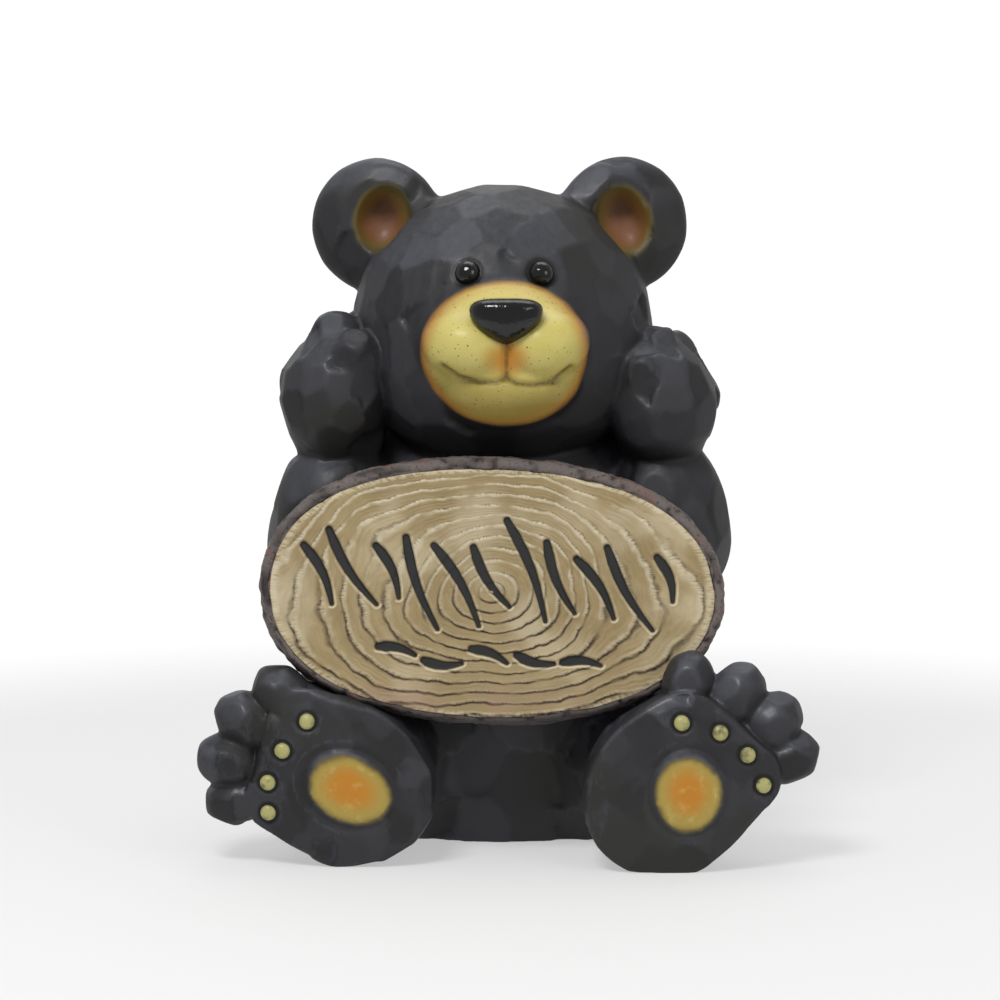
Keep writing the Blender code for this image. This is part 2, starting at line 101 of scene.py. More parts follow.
class Number(Wire):
    """A number at every point. Arithmetic on it adds Math nodes."""

    def math(self, operation: str, *others: "Number | float") -> "Number":
        """Adds a Math node that starts with this number.

        Args:
            operation: The Math node's operation.
            others: Its further operands.

        Returns:
            The node's result.
        """
        return self.tree.number("ShaderNodeMath", [self, *others], operation=operation)

    def __add__(self, other: "Number | float") -> "Number":
        """Adds."""
        return self.math("ADD", other)

    __radd__ = __add__

    def __sub__(self, other: "Number | float") -> "Number":
        """Subtracts."""
        return self.math("SUBTRACT", other)

    def __rsub__(self, other: float) -> "Number":
        """Subtracts this from a plain number."""
        return self.tree.number("ShaderNodeMath", [other, self], operation="SUBTRACT")

    def __mul__(self, other: "Number | float") -> "Number":
        """Multiplies."""
        return self.math("MULTIPLY", other)

    __rmul__ = __mul__

    def __truediv__(self, other: "Number | float") -> "Number":
        """Divides."""
        return self.math("DIVIDE", other)

    def __rtruediv__(self, other: float) -> "Number":
        """Divides a plain number by this."""
        return self.tree.number("ShaderNodeMath", [other, self], operation="DIVIDE")

    def __neg__(self) -> "Number":
        """Changes the sign."""
        return self.math("MULTIPLY", -1.0)

    def least(self, other: "Number | float") -> "Number":
        """Takes the lesser of two."""
        return self.math("MINIMUM", other)

    def most(self, other: "Number | float") -> "Number":
        """Takes the greater of two."""
        return self.math("MAXIMUM", other)

    def clamped(self) -> "Number":
        """Keeps the number from 0 to 1."""
        return self.most(0.0).least(1.0)

    def joined(self, other: "Number", melt: float) -> "Number":
        """Unites two shapes, which melt into each other over this distance."""
        return self.math("SMOOTH_MIN", other, melt)

    def cut_by(self, other: "Number", melt: float) -> "Number":
        """Takes the other shape out of this one, with the edge rounded over this distance."""
        return self.math("SMOOTH_MAX", -other, melt)

    def step(self, low: float, high: float) -> "Number":
        """Rises smoothly from 0 at the low value to 1 at the high one, or falls where low is the greater.

        Args:
            low: Where the step starts.
            high: Where it ends.

        Returns:
            The step, from 0 to 1.
        """
        inputs = [self, low, high, 0.0, 1.0] if low < high else [self, high, low, 1.0, 0.0]
        return self.tree.number("ShaderNodeMapRange", inputs, interpolation_type="SMOOTHSTEP")

    def bell(self, middle: float, width: float) -> "Number":
        """Gives 1 at a value and falls smoothly to 0 at this distance on both sides of it."""
        return (self - middle).math("ABSOLUTE").step(width, 0.0)


class Arrow(Wire):
    """A vector at every point. Arithmetic on it adds Vector Math nodes."""

    def vector(self, operation: str, *others: "Arrow | Sequence[float]") -> "Arrow":
        """Adds a Vector Math node that starts with this vector.

        Args:
            operation: The node's operation.
            others: Its further operands.

        Returns:
            The node's vector.
        """
        return self.tree.arrow("ShaderNodeVectorMath", [self, *others], operation=operation)

    def __add__(self, other: "Arrow | Sequence[float]") -> "Arrow":
        """Adds."""
        return self.vector("ADD", other)

    def __sub__(self, other: "Arrow | Sequence[float]") -> "Arrow":
        """Subtracts."""
        return self.vector("SUBTRACT", other)

    def __mul__(self, other: "Number | float | Sequence[float]") -> "Arrow":
        """Scales by a number, or each axis by its own."""
        if isinstance(other, (Number, float, int)):
            return self.tree.arrow("ShaderNodeVectorMath", {0: self, 3: other}, operation="SCALE")
        return self.vector("MULTIPLY", other)

    __rmul__ = __mul__

    def __truediv__(self, other: Sequence[float]) -> "Arrow":
        """Divides each axis by its own number."""
        return self.vector("DIVIDE", other)

    def dot(self, other: "Arrow | Sequence[float]") -> Number:
        """Gives the dot product."""
        return self.tree.number("ShaderNodeVectorMath", [self, other], "Value", operation="DOT_PRODUCT")

    def length(self) -> Number:
        """Gives the length."""
        return self.tree.number("ShaderNodeVectorMath", [self], "Value", operation="LENGTH")

    def axis(self, index: int) -> Number:
        """Gives one coordinate: 0 is X, 1 is Y and 2 is Z."""
        return self.tree.number("ShaderNodeSeparateXYZ", [self], index)

    def turned_back(self, turn: Euler) -> "Arrow":
        """Undoes a turn."""
        inputs = {"Vector": self, "Rotation": turn}
        return self.tree.arrow("ShaderNodeVectorRotate", inputs, rotation_type="EULER_XYZ", invert=True)


class Tree:
    """A node tree, of a material or of geometry, that is written as expressions."""

    def __init__(self, tree: bpy.types.NodeTree) -> None:
        """Keeps the tree."""
        self.tree = tree

    def node(self, kind: str, inputs: Inputs, **settings: object) -> bpy.types.Node:
        """Adds a node.

        Args:
            kind: The node's type.
            inputs: Values or wires for its sockets, in order or by name or index. None keeps a default.
            settings: The node's own settings, which are set before its sockets.

        Returns:
            The node.
        """
        made = self.tree.nodes.new(kind)
        for name, value in settings.items():
            setattr(made, name, value)
        for key, value in inputs.items() if isinstance(inputs, Mapping) else enumerate(inputs):
            if isinstance(value, Wire):
                self.tree.links.new(value.socket, made.inputs[key])
            elif value is not None:
                made.inputs[key].default_value = value
        return made

    def number(self, kind: str, inputs: Inputs, output: int | str = 0, **settings: object) -> Number:
        """Adds a node and gives one of its outputs as a number."""
        return Number(self, self.node(kind, inputs, **settings).outputs[output])

    def arrow(self, kind: str, inputs: Inputs, output: int | str = 0, **settings: object) -> Arrow:
        """Adds a node and gives one of its outputs as a vector."""
        return Arrow(self, self.node(kind, inputs, **settings).outputs[output])

    def wire(self, kind: str, inputs: Inputs, output: int | str = 0, **settings: object) -> Wire:
        """Adds a node and gives one of its outputs, such as a colour or a geometry."""
        return Wire(self, self.node(kind, inputs, **settings).outputs[output])

    def joined(self, x: "Number | float", y: "Number | float", z: "Number | float") -> Arrow:
        """Makes a vector of three numbers."""
        return self.arrow("ShaderNodeCombineXYZ", [x, y, z])

    def noise(self, place: Arrow, scale: float, detail: float = 2.0, roughness: float = 0.5) -> Number:
        """Gives cloudy noise, about 0.5 on average.

        Args:
            place: Where it is read.
            scale: Clouds a metre.
            detail: How many finer octaves there are.
            roughness: How strong those are.

        Returns:
            The noise.
        """
        inputs = {"Vector": place, "Scale": scale, "Detail": detail, "Roughness": roughness}
        return self.number("ShaderNodeTexNoise", inputs)


class Paint(Tree):
    """A material's node tree round one Principled shader."""

    def __init__(self, name: str, **plain: float | Colour) -> None:
        """Starts a material.

        Args:
            name: The material's name.
            plain: Values of the shader's sockets that are the same all over, with _ for a space.
        """
        self.material = bpy.data.materials.new(name)
        self.material.use_nodes = True
        super().__init__(self.material.node_tree)
        self.shader = self.tree.nodes["Principled BSDF"]
        for socket, value in plain.items():
            self.shader.inputs[socket.replace("_", " ")].default_value = value
        self.place = self.arrow("ShaderNodeTexCoord", [], "Object")

    def attribute(self, name: str) -> Number:
        """Reads a number that the mesh carries."""
        return self.number("ShaderNodeAttribute", [], "Fac", attribute_name=name)

    def mixed(self, share: Number | float, under: Wire | Colour, over: Wire | Colour) -> Wire:
        """Lays one colour over another.

        Args:
            share: How much of the upper colour shows, from 0 to 1.
            under: The colour below.
            over: The colour above.

        Returns:
            The colour.
        """
        return self.wire("ShaderNodeMix", {0: share, 6: under, 7: over}, 2, data_type="RGBA")

    def bump(self, height: Number, distance: float, strength: float = 1.0) -> None:
        """Roughens the surface.

        Args:
            height: The relief, from 0 to 1.
            distance: How tall that is, in metres.
            strength: How strongly it shows.
        """
        inputs = {"Strength": strength, "Distance": distance, "Height": height}
        self.feed("Normal", self.arrow("ShaderNodeBump", inputs))

    def feed(self, socket: str, value: Wire) -> None:
        """Links a value to a socket of the shader."""
        self.tree.links.new(value.socket, self.shader.inputs[socket])


@dataclass(frozen=True)
class Mass:
    """An ellipsoid: its middle, its half sizes and its turn in degrees about X, Y and Z."""

    at: Triple
    half: Triple
    turn: Triple = (0, 0, 0)

    def distance(self, place: Arrow) -> Number:
        """Measures how far a place lies outside the ellipsoid.

        Args:
            place: The place.

        Returns:
            The distance, negative inside.
        """
        half = percent(self.half)
        away = place - percent(self.at)
        if any(self.turn):
            away = away.turned_back(Euler([math.radians(angle) for angle in self.turn]))
        near = (away / half).length()
        steep = (away / Vector([side * side for side in half])).length()
        return (near - 1.0) * (near / steep).most(min(half))


@dataclass(frozen=True)
class Limb:
    """A round limb from one point to another, with the radius at each end."""

    start: Triple
    end: Triple
    start_radius: float
    end_radius: float

    def distance(self, place: Arrow) -> Number:
        """Measures how far a place lies outside the limb.

        Args:
            place: The place.

        Returns:
            The distance, negative inside.
        """
        away, share = along_segment(place, percent(self.start), percent(self.end))
        growth = (self.end_radius - self.start_radius) * PERCENT
        return away - (share * growth + self.start_radius * PERCENT)


def along_segment(place: Arrow, start: Vector, end: Vector) -> tuple[Number, Number]:
    """Measures a place against a segment.

    Args:
        place: The place.
        start: The segment's start.
        end: Its end.

    Returns:
        The distance from the segment, and the share of the way along it.
    """
    axis = end - start
    away = place - start
    share = (away.dot(axis) / axis.length_squared).clamped()
    along = place.tree.arrow("ShaderNodeVectorMath", {0: axis, 3: share}, operation="SCALE")
    return (away - along).length(), share


def blended(place: Arrow, shapes: "Sequence[Mass | Limb | Foot]", melt: float) -> Number:
    """Melts masses, limbs and feet into one shape.

    Args:
        place: Where it is measured.
        shapes: The masses, limbs and feet.
        melt: How far they melt into each other, in hundredths of the height.

    Returns:
        The distance to the whole shape, negative inside.
    """
    whole = shapes[0].distance(place)
    for shape in shapes[1:]:
        whole = whole.joined(shape.distance(place), melt * PERCENT)
    return whole


def seen_from_front(place: Arrow, front: float) -> Arrow:
    """Flattens space as the front view shows it.

    Args:
        place: The place.
        front: A depth in hundredths of the height. What lies behind it keeps its distance from it.

    Returns:
        The place with no depth, unless it lies behind that front.
    """
    behind = (place.axis(1) - front * PERCENT).most(0.0)
    return place.tree.joined(place.axis(0), behind, place.axis(2))


@dataclass(frozen=True)
class Oval:
    """An oval as the front view shows it: middle across and up, half sizes and turn in degrees."""

    across: float
    up: float
    half_width: float
    half_height: float
    turn: float = 0.0

    def distance(self, seen: Arrow) -> Number:
        """Measures how far a flattened place lies outside the oval.

        Args:
            seen: The place, flattened.

        Returns:
            The distance, negative inside.
        """
        away = (seen - percent((self.across, 0, self.up))).turned_back(Euler((0, math.radians(self.turn), 0)))
        size = percent((self.half_width, min(self.half_width, self.half_height), self.half_height))
        return ((away / size).length() - 1.0) * min(size)


@dataclass(frozen=True)
class Foot:
    """A foot: an oval with bars as the front view shows it, under a low domed sole with a firm edge."""

    at: Triple
    half: Triple
    turn: float
    bars: tuple[Limb, ...]
    dome: float = 1.7
    melt: float = 3.0
    edge: float = 1.3

    def distance(self, place: Arrow) -> Number:
        """Measures how far a place lies outside the foot.

        Args:
            place: The place.

        Returns:
            The distance, negative inside.
        """
        flat = place * (1.0, 0.0, 1.0)
        wide, deep, high = self.half
        oval = Oval(self.at[0], self.at[2], wide, high, self.turn)
        outline = oval.distance(flat)
        for bar in self.bars:
            outline = outline.joined(bar.distance(flat), self.melt * PERCENT)
        sole = Mass(self.at, (wide * self.dome, deep, high * self.dome), (0, self.turn, 0))
        return outline.math("SMOOTH_MAX", sole.distance(place), self.edge * PERCENT)


@dataclass(frozen=True)
class Line:
    """A bent line on the face as the front view shows it: points across and up."""

    points: tuple[Pair, ...]

    def distance(self, seen: Arrow) -> Number:
        """Measures how far a flattened place lies from the line.

        Args:
            seen: The place, flattened.

        Returns:
            The distance.
        """
        places = [percent((across, 0, up)) for across, up in self.points]
        nearest = None
        for start, end in zip(places, places[1:]):
            away, _ = along_segment(seen, start, end)
            nearest = nearest.least(away) if nearest else away
        return nearest


class Mark(str, Enum):
    """The attributes that the coat's mesh carries for its paint."""

    FACET = "facet"
    RIDGE = "ridge"
    HOLLOW = "hollow"
    LIT = "lit"
    MUZZLE = "muzzle"
    EAR = "ear"
    PAD = "pad"
    BEAD = "bead"
    MOUTH = "mouth"
    EYE = "eye"


@dataclass(frozen=True)
class Anatomy:
    """The bear's masses, limbs and marks. Left and right are as the viewer sees them."""

    torso: tuple = (
        Mass((0, 0.5, 30), (24, 25, 31)),
        Mass((0, 2, 7), (25, 21, 19)),
        Mass((0, 3, 50), (22, 17, 15)),
        Mass((0, 22, 8), (5, 6, 5)),
        Limb((-13, -2, 11), (-21, -22, 12.5), 11.5, 10),
        Limb((13, -2, 11), (21, -24, 12.5), 11.5, 10),
    )
    feet: tuple = (
        Foot((-22.9, -30.8, 12.3), (13.2, 5.6, 11.0), 34, (
            Limb((-24, 0, 6.8), (-31.8, 0, 9.8), 6.6, 5.3),
            Limb((-24, 0, 15), (-28.8, 0, 20.6), 7.0, 5.0),
        )),
        Foot((23.2, -34.4, 12.0), (13.4, 5.6, 11.4), -48, (
            Limb((24, 0, 6.8), (33.2, 0, 13.4), 7.0, 5.5),
            Limb((24, 0, 15), (25.0, 0, 20.2), 7.0, 5.2),
        )),
        Limb((-22.5, -18, 9.6), (-22.8, -26.5, 9.4), 10, 8.6),
        Mass((-25.0, -15.0, 18.2), (7.6, 8.0, 8.4)),
        Limb((22.0, -18, 9.6), (22.8, -30.0, 9.2), 10, 8.8),
    )
    toe_roots: tuple = (
        Limb((-27, -28, 18), (-32.6, -29, 24.8), 3.6, 2.8),
        Limb((-30, -28, 16), (-37.8, -29, 20.8), 3.8, 3.0),
        Limb((-31, -28, 13), (-40.4, -29, 14.9), 3.6, 3.0),
        Limb((-30, -28, 10), (-39.6, -29, 8.9), 3.4, 2.6),
        Limb((24, -30, 19), (25.9, -31, 27.0), 3.6, 2.8),
        Limb((27, -30, 18), (32.9, -31, 25.2), 3.8, 3.0),
        Limb((29, -30, 16), (38.0, -31, 21.2), 3.8, 3.0),
        Limb((30, -30, 13), (40.4, -31, 15.9), 3.6, 3.0),
    )
    toes: tuple = (
        Mass((-32.0, -30.6, 24.0), (3.8, 4.4, 4.8), (0, -39, 0)),
        Mass((-37.0, -30.6, 20.3), (4.1, 4.6, 4.9), (0, -58, 0)),
        Mass((-39.4, -30.6, 14.7), (4.0, 4.6, 4.9), (0, -78, 0)),
        Mass((-38.6, -30.6, 9.0), (3.5, 4.2, 4.6), (0, -98, 0)),
        Mass((25.7, -33.4, 26.2), (3.7, 4.2, 4.6), (0, 14, 0)),
        Mass((32.4, -33.4, 24.5), (4.0, 4.5, 4.9), (0, 39, 0)),
        Mass((37.2, -33.4, 20.7), (4.0, 4.5, 4.9), (0, 60, 0)),
        Mass((39.8, -33.2, 15.7), (3.8, 4.2, 4.6), (0, 74, 0)),
    )
    arms: tuple = (
        Limb((-17, 5, 52), (-25.6, -4, 42), 11, 10.0),
        Mass((-25.2, -7.6, 47.2), (9.2, 9.8, 12.0)),
        Limb((17, 5, 52), (23.3, -4, 43), 11, 9.9),
        Mass((23.2, -7.6, 47.2), (9.2, 9.8, 12.0)),
    )
    paws: tuple = (
        Mass((-25.2, -11.5, 66.2), (7.1, 7.2, 9.0), (0, 12, 0)),
        Limb((-24.8, -8.0, 60.5), (-25.3, -11.0, 65.0), 6.8, 7.4),
        Mass((22.6, -11.5, 65.0), (7.1, 7.2, 9.0), (0, -12, 0)),
        Limb((22.8, -8.0, 60.5), (22.8, -11.0, 64.0), 6.8, 7.4),
    )
    fingers: tuple = (
        Limb((-25.6, -12.6, 64.5), (-22.0, -14.4, 71.2), 6.4, 4.1),
        Limb((-27.6, -9.0, 67.0), (-25.0, -10.4, 73.6), 5.8, 4.1),
        Limb((-26.6, -5.0, 68.0), (-23.2, -6.8, 73.8), 5.2, 3.6),
        Limb((22.6, -12.6, 62.5), (20.2, -14.4, 69.0), 6.4, 3.9),
        Limb((24.8, -9.0, 65.5), (22.4, -10.4, 71.7), 5.8, 4.0),
        Limb((26.4, -5.0, 65.0), (24.2, -6.8, 71.0), 5.2, 3.8),
    )
    head: tuple = (
        Mass((-0.7, -2.5, 77.4), (21.6, 20.5, 18.8)),
        Mass((-0.7, -5.0, 70.0), (21.5, 18.0, 15.5)),
    )
    ears: tuple = (
        Mass((-19.4, 0.5, 90.1), (10.0, 4.6, 10.0), (0, 0, -14)),
        Mass((17.3, 0.5, 90.3), (10.0, 4.6, 10.0), (0, 0, 14)),
    )
    ear_hollows: tuple = (
        Mass((-18.5, -5.0, 91.2), (4.2, 4.6, 5.3), (0, 16, 0)),
        Mass((17.4, -5.0, 91.0), (4.2, 4.6, 5.5), (0, -16, 0)),
    )
    ear_paint: tuple = (Oval(-18.6, 91.2, 4.5, 5.5, 16), Oval(17.5, 91.0, 4.4, 5.7, -16))
    muzzle: tuple = (
        Mass((-0.5, -20.0, 73.4), (12.2, 10.0, 9.9)),
        Mass((0.5, -19.8, 67.8), (10.2, 9.9, 6.3), (0, -4, 0)),
        Mass((-5.3, -24.2, 73.7), (7.0, 7.2, 5.4), (0, 10, 0)),
        Mass((4.9, -24.2, 73.7), (7.0, 7.2, 5.4), (0, -10, 0)),
    )
    muzzle_paint: Oval = Oval(-0.35, 72.4, 12.4, 10.5)
    eyes: tuple = ((-5.6, -20.9, 83.7), (4.9, -20.9, 83.6))
    pads: tuple = (Oval(-22.3, 11.6, 7.1, 5.6, 25), Oval(25.4, 11.7, 5.6, 6.4))
    beads: tuple = (
        (-28.3, 21.1), (-31.8, 16.9), (-33.9, 12.3), (-33.9, 7.9),
        (24.5, 21.5), (29.9, 20.1), (33.8, 16.9), (36.1, 12.5),
    )
    philtrum: Line = Line(((-0.1, 75.4), (-0.1, 69.2)))
    smile: tuple = (
        Line(((-0.1, 69.2), (-1.6, 68.6), (-4.2, 68.5), (-6.9, 69.2), (-9.2, 70.8))),
        Line(((-0.1, 69.2), (1.5, 68.4), (3.9, 68.2), (6.6, 68.6), (9.1, 70.6))),
    )
    soles_front: float = -32.5
    face_front: float = -24.0
    ear_front: float = -2.0
    soft: float = 9.0
    rounded: float = 4.5
    creased: float = 1.6
    crisp: float = 1.0

    def coat(self, place: Arrow) -> Number:
        """Melts the whole coat together, without the muzzle and before the ears are hollowed.

        Args:
            place: Where it is measured.

        Returns:
            The distance to the coat, negative inside.
        """
        creased, rounded, crisp = self.creased * PERCENT, self.rounded * PERCENT, self.crisp * PERCENT
        roots = blended(place, self.toe_roots, self.creased)
        feet = blended(place, self.feet, self.creased).joined(roots, creased)
        for toe in self.toes:
            feet = feet.joined(toe.distance(place), crisp)
        paws = blended(place, self.paws, self.rounded)
        for finger in self.fingers:
            paws = paws.joined(finger.distance(place), crisp)
        head = blended(place, self.head, self.soft)
        head = head.joined(blended(place, self.ears, self.creased), rounded / 2)
        body = blended(place, self.torso, self.soft).joined(feet, rounded)
        body = body.joined(blended(place, self.arms, self.rounded), rounded)
        return body.joined(paws, creased).joined(head, creased)


@dataclass(frozen=True)
class GlossFinish:
    """Thick gloss black with a crackled skin, on the nose and the eyes."""

    black: Colour = shade(12, 13, 12)
    roughness: float = 0.07
    crackle: float = 420.0
    crackle_height: float = 1.0 * MILLIMETRE
    crackle_strength: float = 0.3

    def material(self) -> bpy.types.Material:
        """Mixes the paint.

        Returns:
            The material.
        """
        paint = Paint("gloss_black", Base_Color=self.black, Roughness=self.roughness)
        height = paint.noise(paint.place, self.crackle, 2.0, 0.5)
        paint.bump(height, self.crackle_height, self.crackle_strength)
        return paint.material


@dataclass(frozen=True)
class BeadFinish:
    """Pale yellow-green paint on the beads under the toes, rubbed through in places."""

    pale: Colour = shade(168, 164, 104)
    rubbed: Colour = shade(92, 88, 58)

    def material(self) -> bpy.types.Material:
        """Mixes the paint.

        Returns:
            The material.
        """
        paint = Paint("pale_bead", Roughness=0.4)
        patches = paint.noise(paint.place, 160.0, 3.0)
        paint.feed("Base Color", paint.mixed(patches.step(0.45, 0.75), self.pale, self.rubbed))
        paint.bump(patches, 0.3 * MILLIMETRE, 0.4)
        return paint.material


@dataclass(frozen=True)
class CoatFinish:
    """The bear's paint: charcoal, lighter by dry brushing along its ridges, with airbrushed muzzle, pads and
    ears.

    It carries painted light too: a painted highlight on faces turned up and to the front left, painted shade
    in its hollows, on faces turned down and round the eyes and beads, painted shade towards the chin and
    along the mouth, and a painted highlight along the top of each pad and on the lower part of each ear
    hollow.

    The widths of the airbrushed parts are in metres, and so are the heights at which their colours change. A
    pair is where a change starts and ends. The place of the lip is in hundredths of the figure's height.
    """

    charcoal: Colour = shade(30, 30, 32)
    slate: Colour = shade(54, 54, 59)
    # Blue grey: the painted highlight on faces turned to the light and on the pads, and the dry brushing
    # along the ridges.
    dry_brush_and_highlight: Colour = shade(90, 93, 104)
    olive: Colour = shade(38, 37, 31)
    # Near black for painted shade: in hollows, on faces turned down, round the eyes and round the beads.
    painted_shade: Colour = shade(14, 14, 13)
    lemon: Colour = shade(196, 184, 96)
    straw: Colour = shade(204, 188, 118)
    mustard: Colour = shade(142, 122, 52)
    amber: Colour = shade(178, 122, 46)
    rust: Colour = shade(116, 74, 34)
    speck: Colour = shade(70, 62, 32)
    peach: Colour = shade(184, 122, 34)
    bronze: Colour = shade(112, 78, 32)
    ochre: Colour = shade(164, 142, 68)
    umber: Colour = shade(66, 40, 18)
    russet: Colour = shade(118, 76, 52)
    moss: Colour = shade(96, 84, 40)
    gleam: float = 0.35
    lacquer_roughness: float = 0.22
    bead_shadow: Pair = (0.0080, 0.0060)
    eye_shadow: Pair = (0.0140, 0.0090)
    chin_shade: Pair = (0.326, 0.290)
    cheek: Pair = (0.020, 0.050)
    muzzle_rim: Pair = (0.0100, 0.0015)
    muzzle_outline: Pair = (0.0040, 0.0)
    muzzle_edge: Pair = (-0.0012, 0.0014)
    mouth_shade: Pair = (0.0055, 0.0005)
    mouth_line: Pair = (0.0019, 0.0005)
    lip_at: Triple = (-0.1, -30.0, 72.0)
    lip_half: Triple = (0.018, 0.036, 0.0145)
    pad_height: float = 0.053
    pad_warmth: Pair = (0.0070, 0.0190)
    pad_rim: Pair = (0.0085, 0.0040)
    pad_edge: Pair = (0.0026, 0.0064)
    ear_shade: Pair = (0.421, 0.409)
    ear_band: Pair = (0.0120, 0.0050)
    ear_rim: Pair = (0.0075, 0.0020)
    ear_edge: Pair = (-0.0010, 0.0040)

    def material(self) -> bpy.types.Material:
        """Mixes the paint.

        Returns:
            The material.
        """
        paint = Paint("painted_coat", Specular_IOR_Level=self.gleam, Coat_Roughness=self.lacquer_roughness)
        grain = paint.noise(paint.place, 70.0, 4.0, 0.6)
        colour, painted_highlight = self._coat(paint, grain)
        colour, muzzle = self._muzzle(paint, colour)
        colour = self._pads(paint, colour)
        colour = self._ears(paint, colour)
        paint.feed("Base Color", colour)
        streaks = paint.noise(paint.place * (1.0, 1.0, 0.35), 900.0, 2.0, 0.6)
        paint.feed("Roughness", 0.50 + grain * 0.16 - painted_highlight * 0.10 - muzzle * 0.04)
        paint.feed("Coat Weight", (painted_highlight * 0.3).most(muzzle * 0.15))
        paint.bump(grain * 0.6 + streaks * 0.4, 0.5 * MILLIMETRE, 0.5)
        return paint.material

    def _coat(self, paint: Paint, grain: Number) -> tuple[Wire, Number]:
        """Paints the charcoal coat, with its painted highlight and its painted shade.

        Args:
            paint: The material.
            grain: Its cloudy noise.

        Returns:
            The colour, and how far a place carries the painted highlight.
        """
        facet, ridge = paint.attribute(Mark.FACET), paint.attribute(Mark.RIDGE)
        hollow, lit = paint.attribute(Mark.HOLLOW), paint.attribute(Mark.LIT)
        colour = paint.mixed((facet * 0.9 + grain * 0.6 - 0.35).clamped(), self.charcoal, self.slate)
        clouds = paint.noise(paint.place, 14.0, 2.0)
        colour = paint.mixed(clouds.step(0.50, 0.68) * 0.7, colour, self.olive)
        highlight_brush = paint.noise(paint.place * (1.0, 1.0, 0.45), 160.0, 4.0, 0.65)
        # Painted highlight: faces turned up and to the front left are painted a lighter blue grey, broken by
        # brushwork.
        painted_highlight = lit.step(0.62, 0.98) * (facet * 0.7 + highlight_brush * 0.9 - 0.35).clamped()
        colour = paint.mixed(painted_highlight * 0.5, colour, self.dry_brush_and_highlight)
        dry = paint.noise(paint.place * (1.0, 1.0, 0.5), 300.0, 2.0, 0.6).step(0.36, 0.62)
        here = paint.noise(paint.place, 20.0, 1.0).step(0.44, 0.60)
        colour = paint.mixed(ridge.step(0.02, 0.09) * dry * here * 0.16, colour, self.dry_brush_and_highlight)
        # Painted shade: hollows and faces turned down are painted near black.
        under = lit.step(0.15, -0.55)
        colour = paint.mixed((hollow.step(-0.3, -1.6) * 0.55).most(under * 0.6), colour, self.painted_shade)
        # Painted shadow: near black in the rings round the beads and in the eye sockets.
        ring = paint.attribute(Mark.BEAD).step(*self.bead_shadow)
        socket = paint.attribute(Mark.EYE).step(*self.eye_shadow)
        return paint.mixed(ring.most(socket), colour, self.painted_shade), painted_highlight

    def _muzzle(self, paint: Paint, colour: Wire) -> tuple[Wire, Number]:
        """Airbrushes the muzzle.

        Args:
            paint: The material.
            colour: The coat's colour.

        Returns:
            The colour, and how far a place is on the muzzle.
        """
        across, up = paint.place.axis(0), paint.place.axis(2)
        mouth = paint.attribute(Mark.MOUTH)
        blush = paint.noise(paint.place, 45.0, 3.0)
        fine = paint.noise(paint.place, 260.0, 3.0, 0.6)
        edge = paint.attribute(Mark.MUZZLE) + (blush - 0.5) * (3.0 * MILLIMETRE)
        face = paint.mixed((blush * 1.2 + fine * 0.5 - 0.5).clamped(), self.lemon, self.straw)
        chin = (up.step(*self.chin_shade) * 0.9 + (0.5 - blush) * 0.5).clamped()
        face = paint.mixed(chin, face, self.mustard)
        side = 0.55 + across.math("ABSOLUTE").step(*self.cheek) * 0.45
        rim = edge.step(*self.muzzle_rim) * side * (0.45 + blush * 0.8).clamped()
        face = paint.mixed(rim, face, self.amber)
        face = paint.mixed(edge.step(*self.muzzle_outline) * 0.8, face, self.rust)
        face = paint.mixed(mouth.step(*self.mouth_shade) * 0.55, face, self.mustard)
        lip = (paint.place - percent(self.lip_at)) / self.lip_half
        face = paint.mixed((lip.length().step(1.1, 0.2) * (0.5 + blush)).clamped(), face, self.peach)
        line = mouth.step(*self.mouth_line) * (fine * 1.6 - 0.1).clamped()
        face = paint.mixed(line * 0.75, face, self.speck)
        specks = paint.noise(paint.place, 620.0, 1.0).step(0.68, 0.73)
        face = paint.mixed(specks * blush.step(0.35, 0.55) * 0.85, face, self.speck)
        on = edge.step(*self.muzzle_edge)
        return paint.mixed(on, colour, face), on

    def _pads(self, paint: Paint, colour: Wire) -> Wire:
        """Airbrushes the pads of the soles.

        Args:
            paint: The material.
            colour: The coat's colour.

        Returns:
            The colour.
        """
        cloud = paint.noise(paint.place, 60.0, 3.0) - 0.5
        low = self.pad_height - paint.place.axis(2)
        depth = paint.attribute(Mark.PAD) + cloud * (5.0 * MILLIMETRE) + low * 0.06
        warm = (depth + low * -0.06).step(*self.pad_warmth)
        pad = paint.mixed(warm, self.ochre, self.peach)
        pad = paint.mixed(paint.noise(paint.place, 150.0, 3.0).step(0.5, 0.8) * 0.4, pad, self.straw)
        pad = paint.mixed(depth.step(*self.pad_rim) * 0.7, pad, self.moss)
        # Painted highlight: a pale line just inside the top of each pad's edge.
        pale = depth.bell(3.5 * MILLIMETRE, 2.5 * MILLIMETRE) * low.step(-0.008, -0.022)
        colour = paint.mixed(pale * 0.5, colour, self.dry_brush_and_highlight)
        return paint.mixed(depth.step(*self.pad_edge), colour, pad)

    def _ears(self, paint: Paint, colour: Wire) -> Wire:
        """Airbrushes the hollows of the ears.

        Args:
            paint: The material.
            colour: The coat's colour.

        Returns:
            The colour.
        """
        cloud = paint.noise(paint.place, 60.0, 3.0)
        depth = paint.attribute(Mark.EAR) + (cloud - 0.5) * (5.0 * MILLIMETRE)
        low = paint.place.axis(2) + cloud * 0.012
        ear = paint.mixed(low.step(*self.ear_shade), self.umber, self.russet)
        ear = paint.mixed(depth.step(*self.ear_band) * 0.8, ear, self.bronze)
        ear = paint.mixed(depth.step(*self.ear_rim), ear, self.moss)
        return paint.mixed(depth.step(*self.ear_edge), colour, ear)


@dataclass(frozen=True)
class Groove:
    """A rounded groove: how deep it is, and how far it reaches to each side of its line."""

    depth: float
    reach: float

    def sunk(self, away: Number) -> Number:
        """Gives how deep a place lies in the groove, from its distance to the groove's line."""
        return away.bell(0.0, self.reach) * self.depth


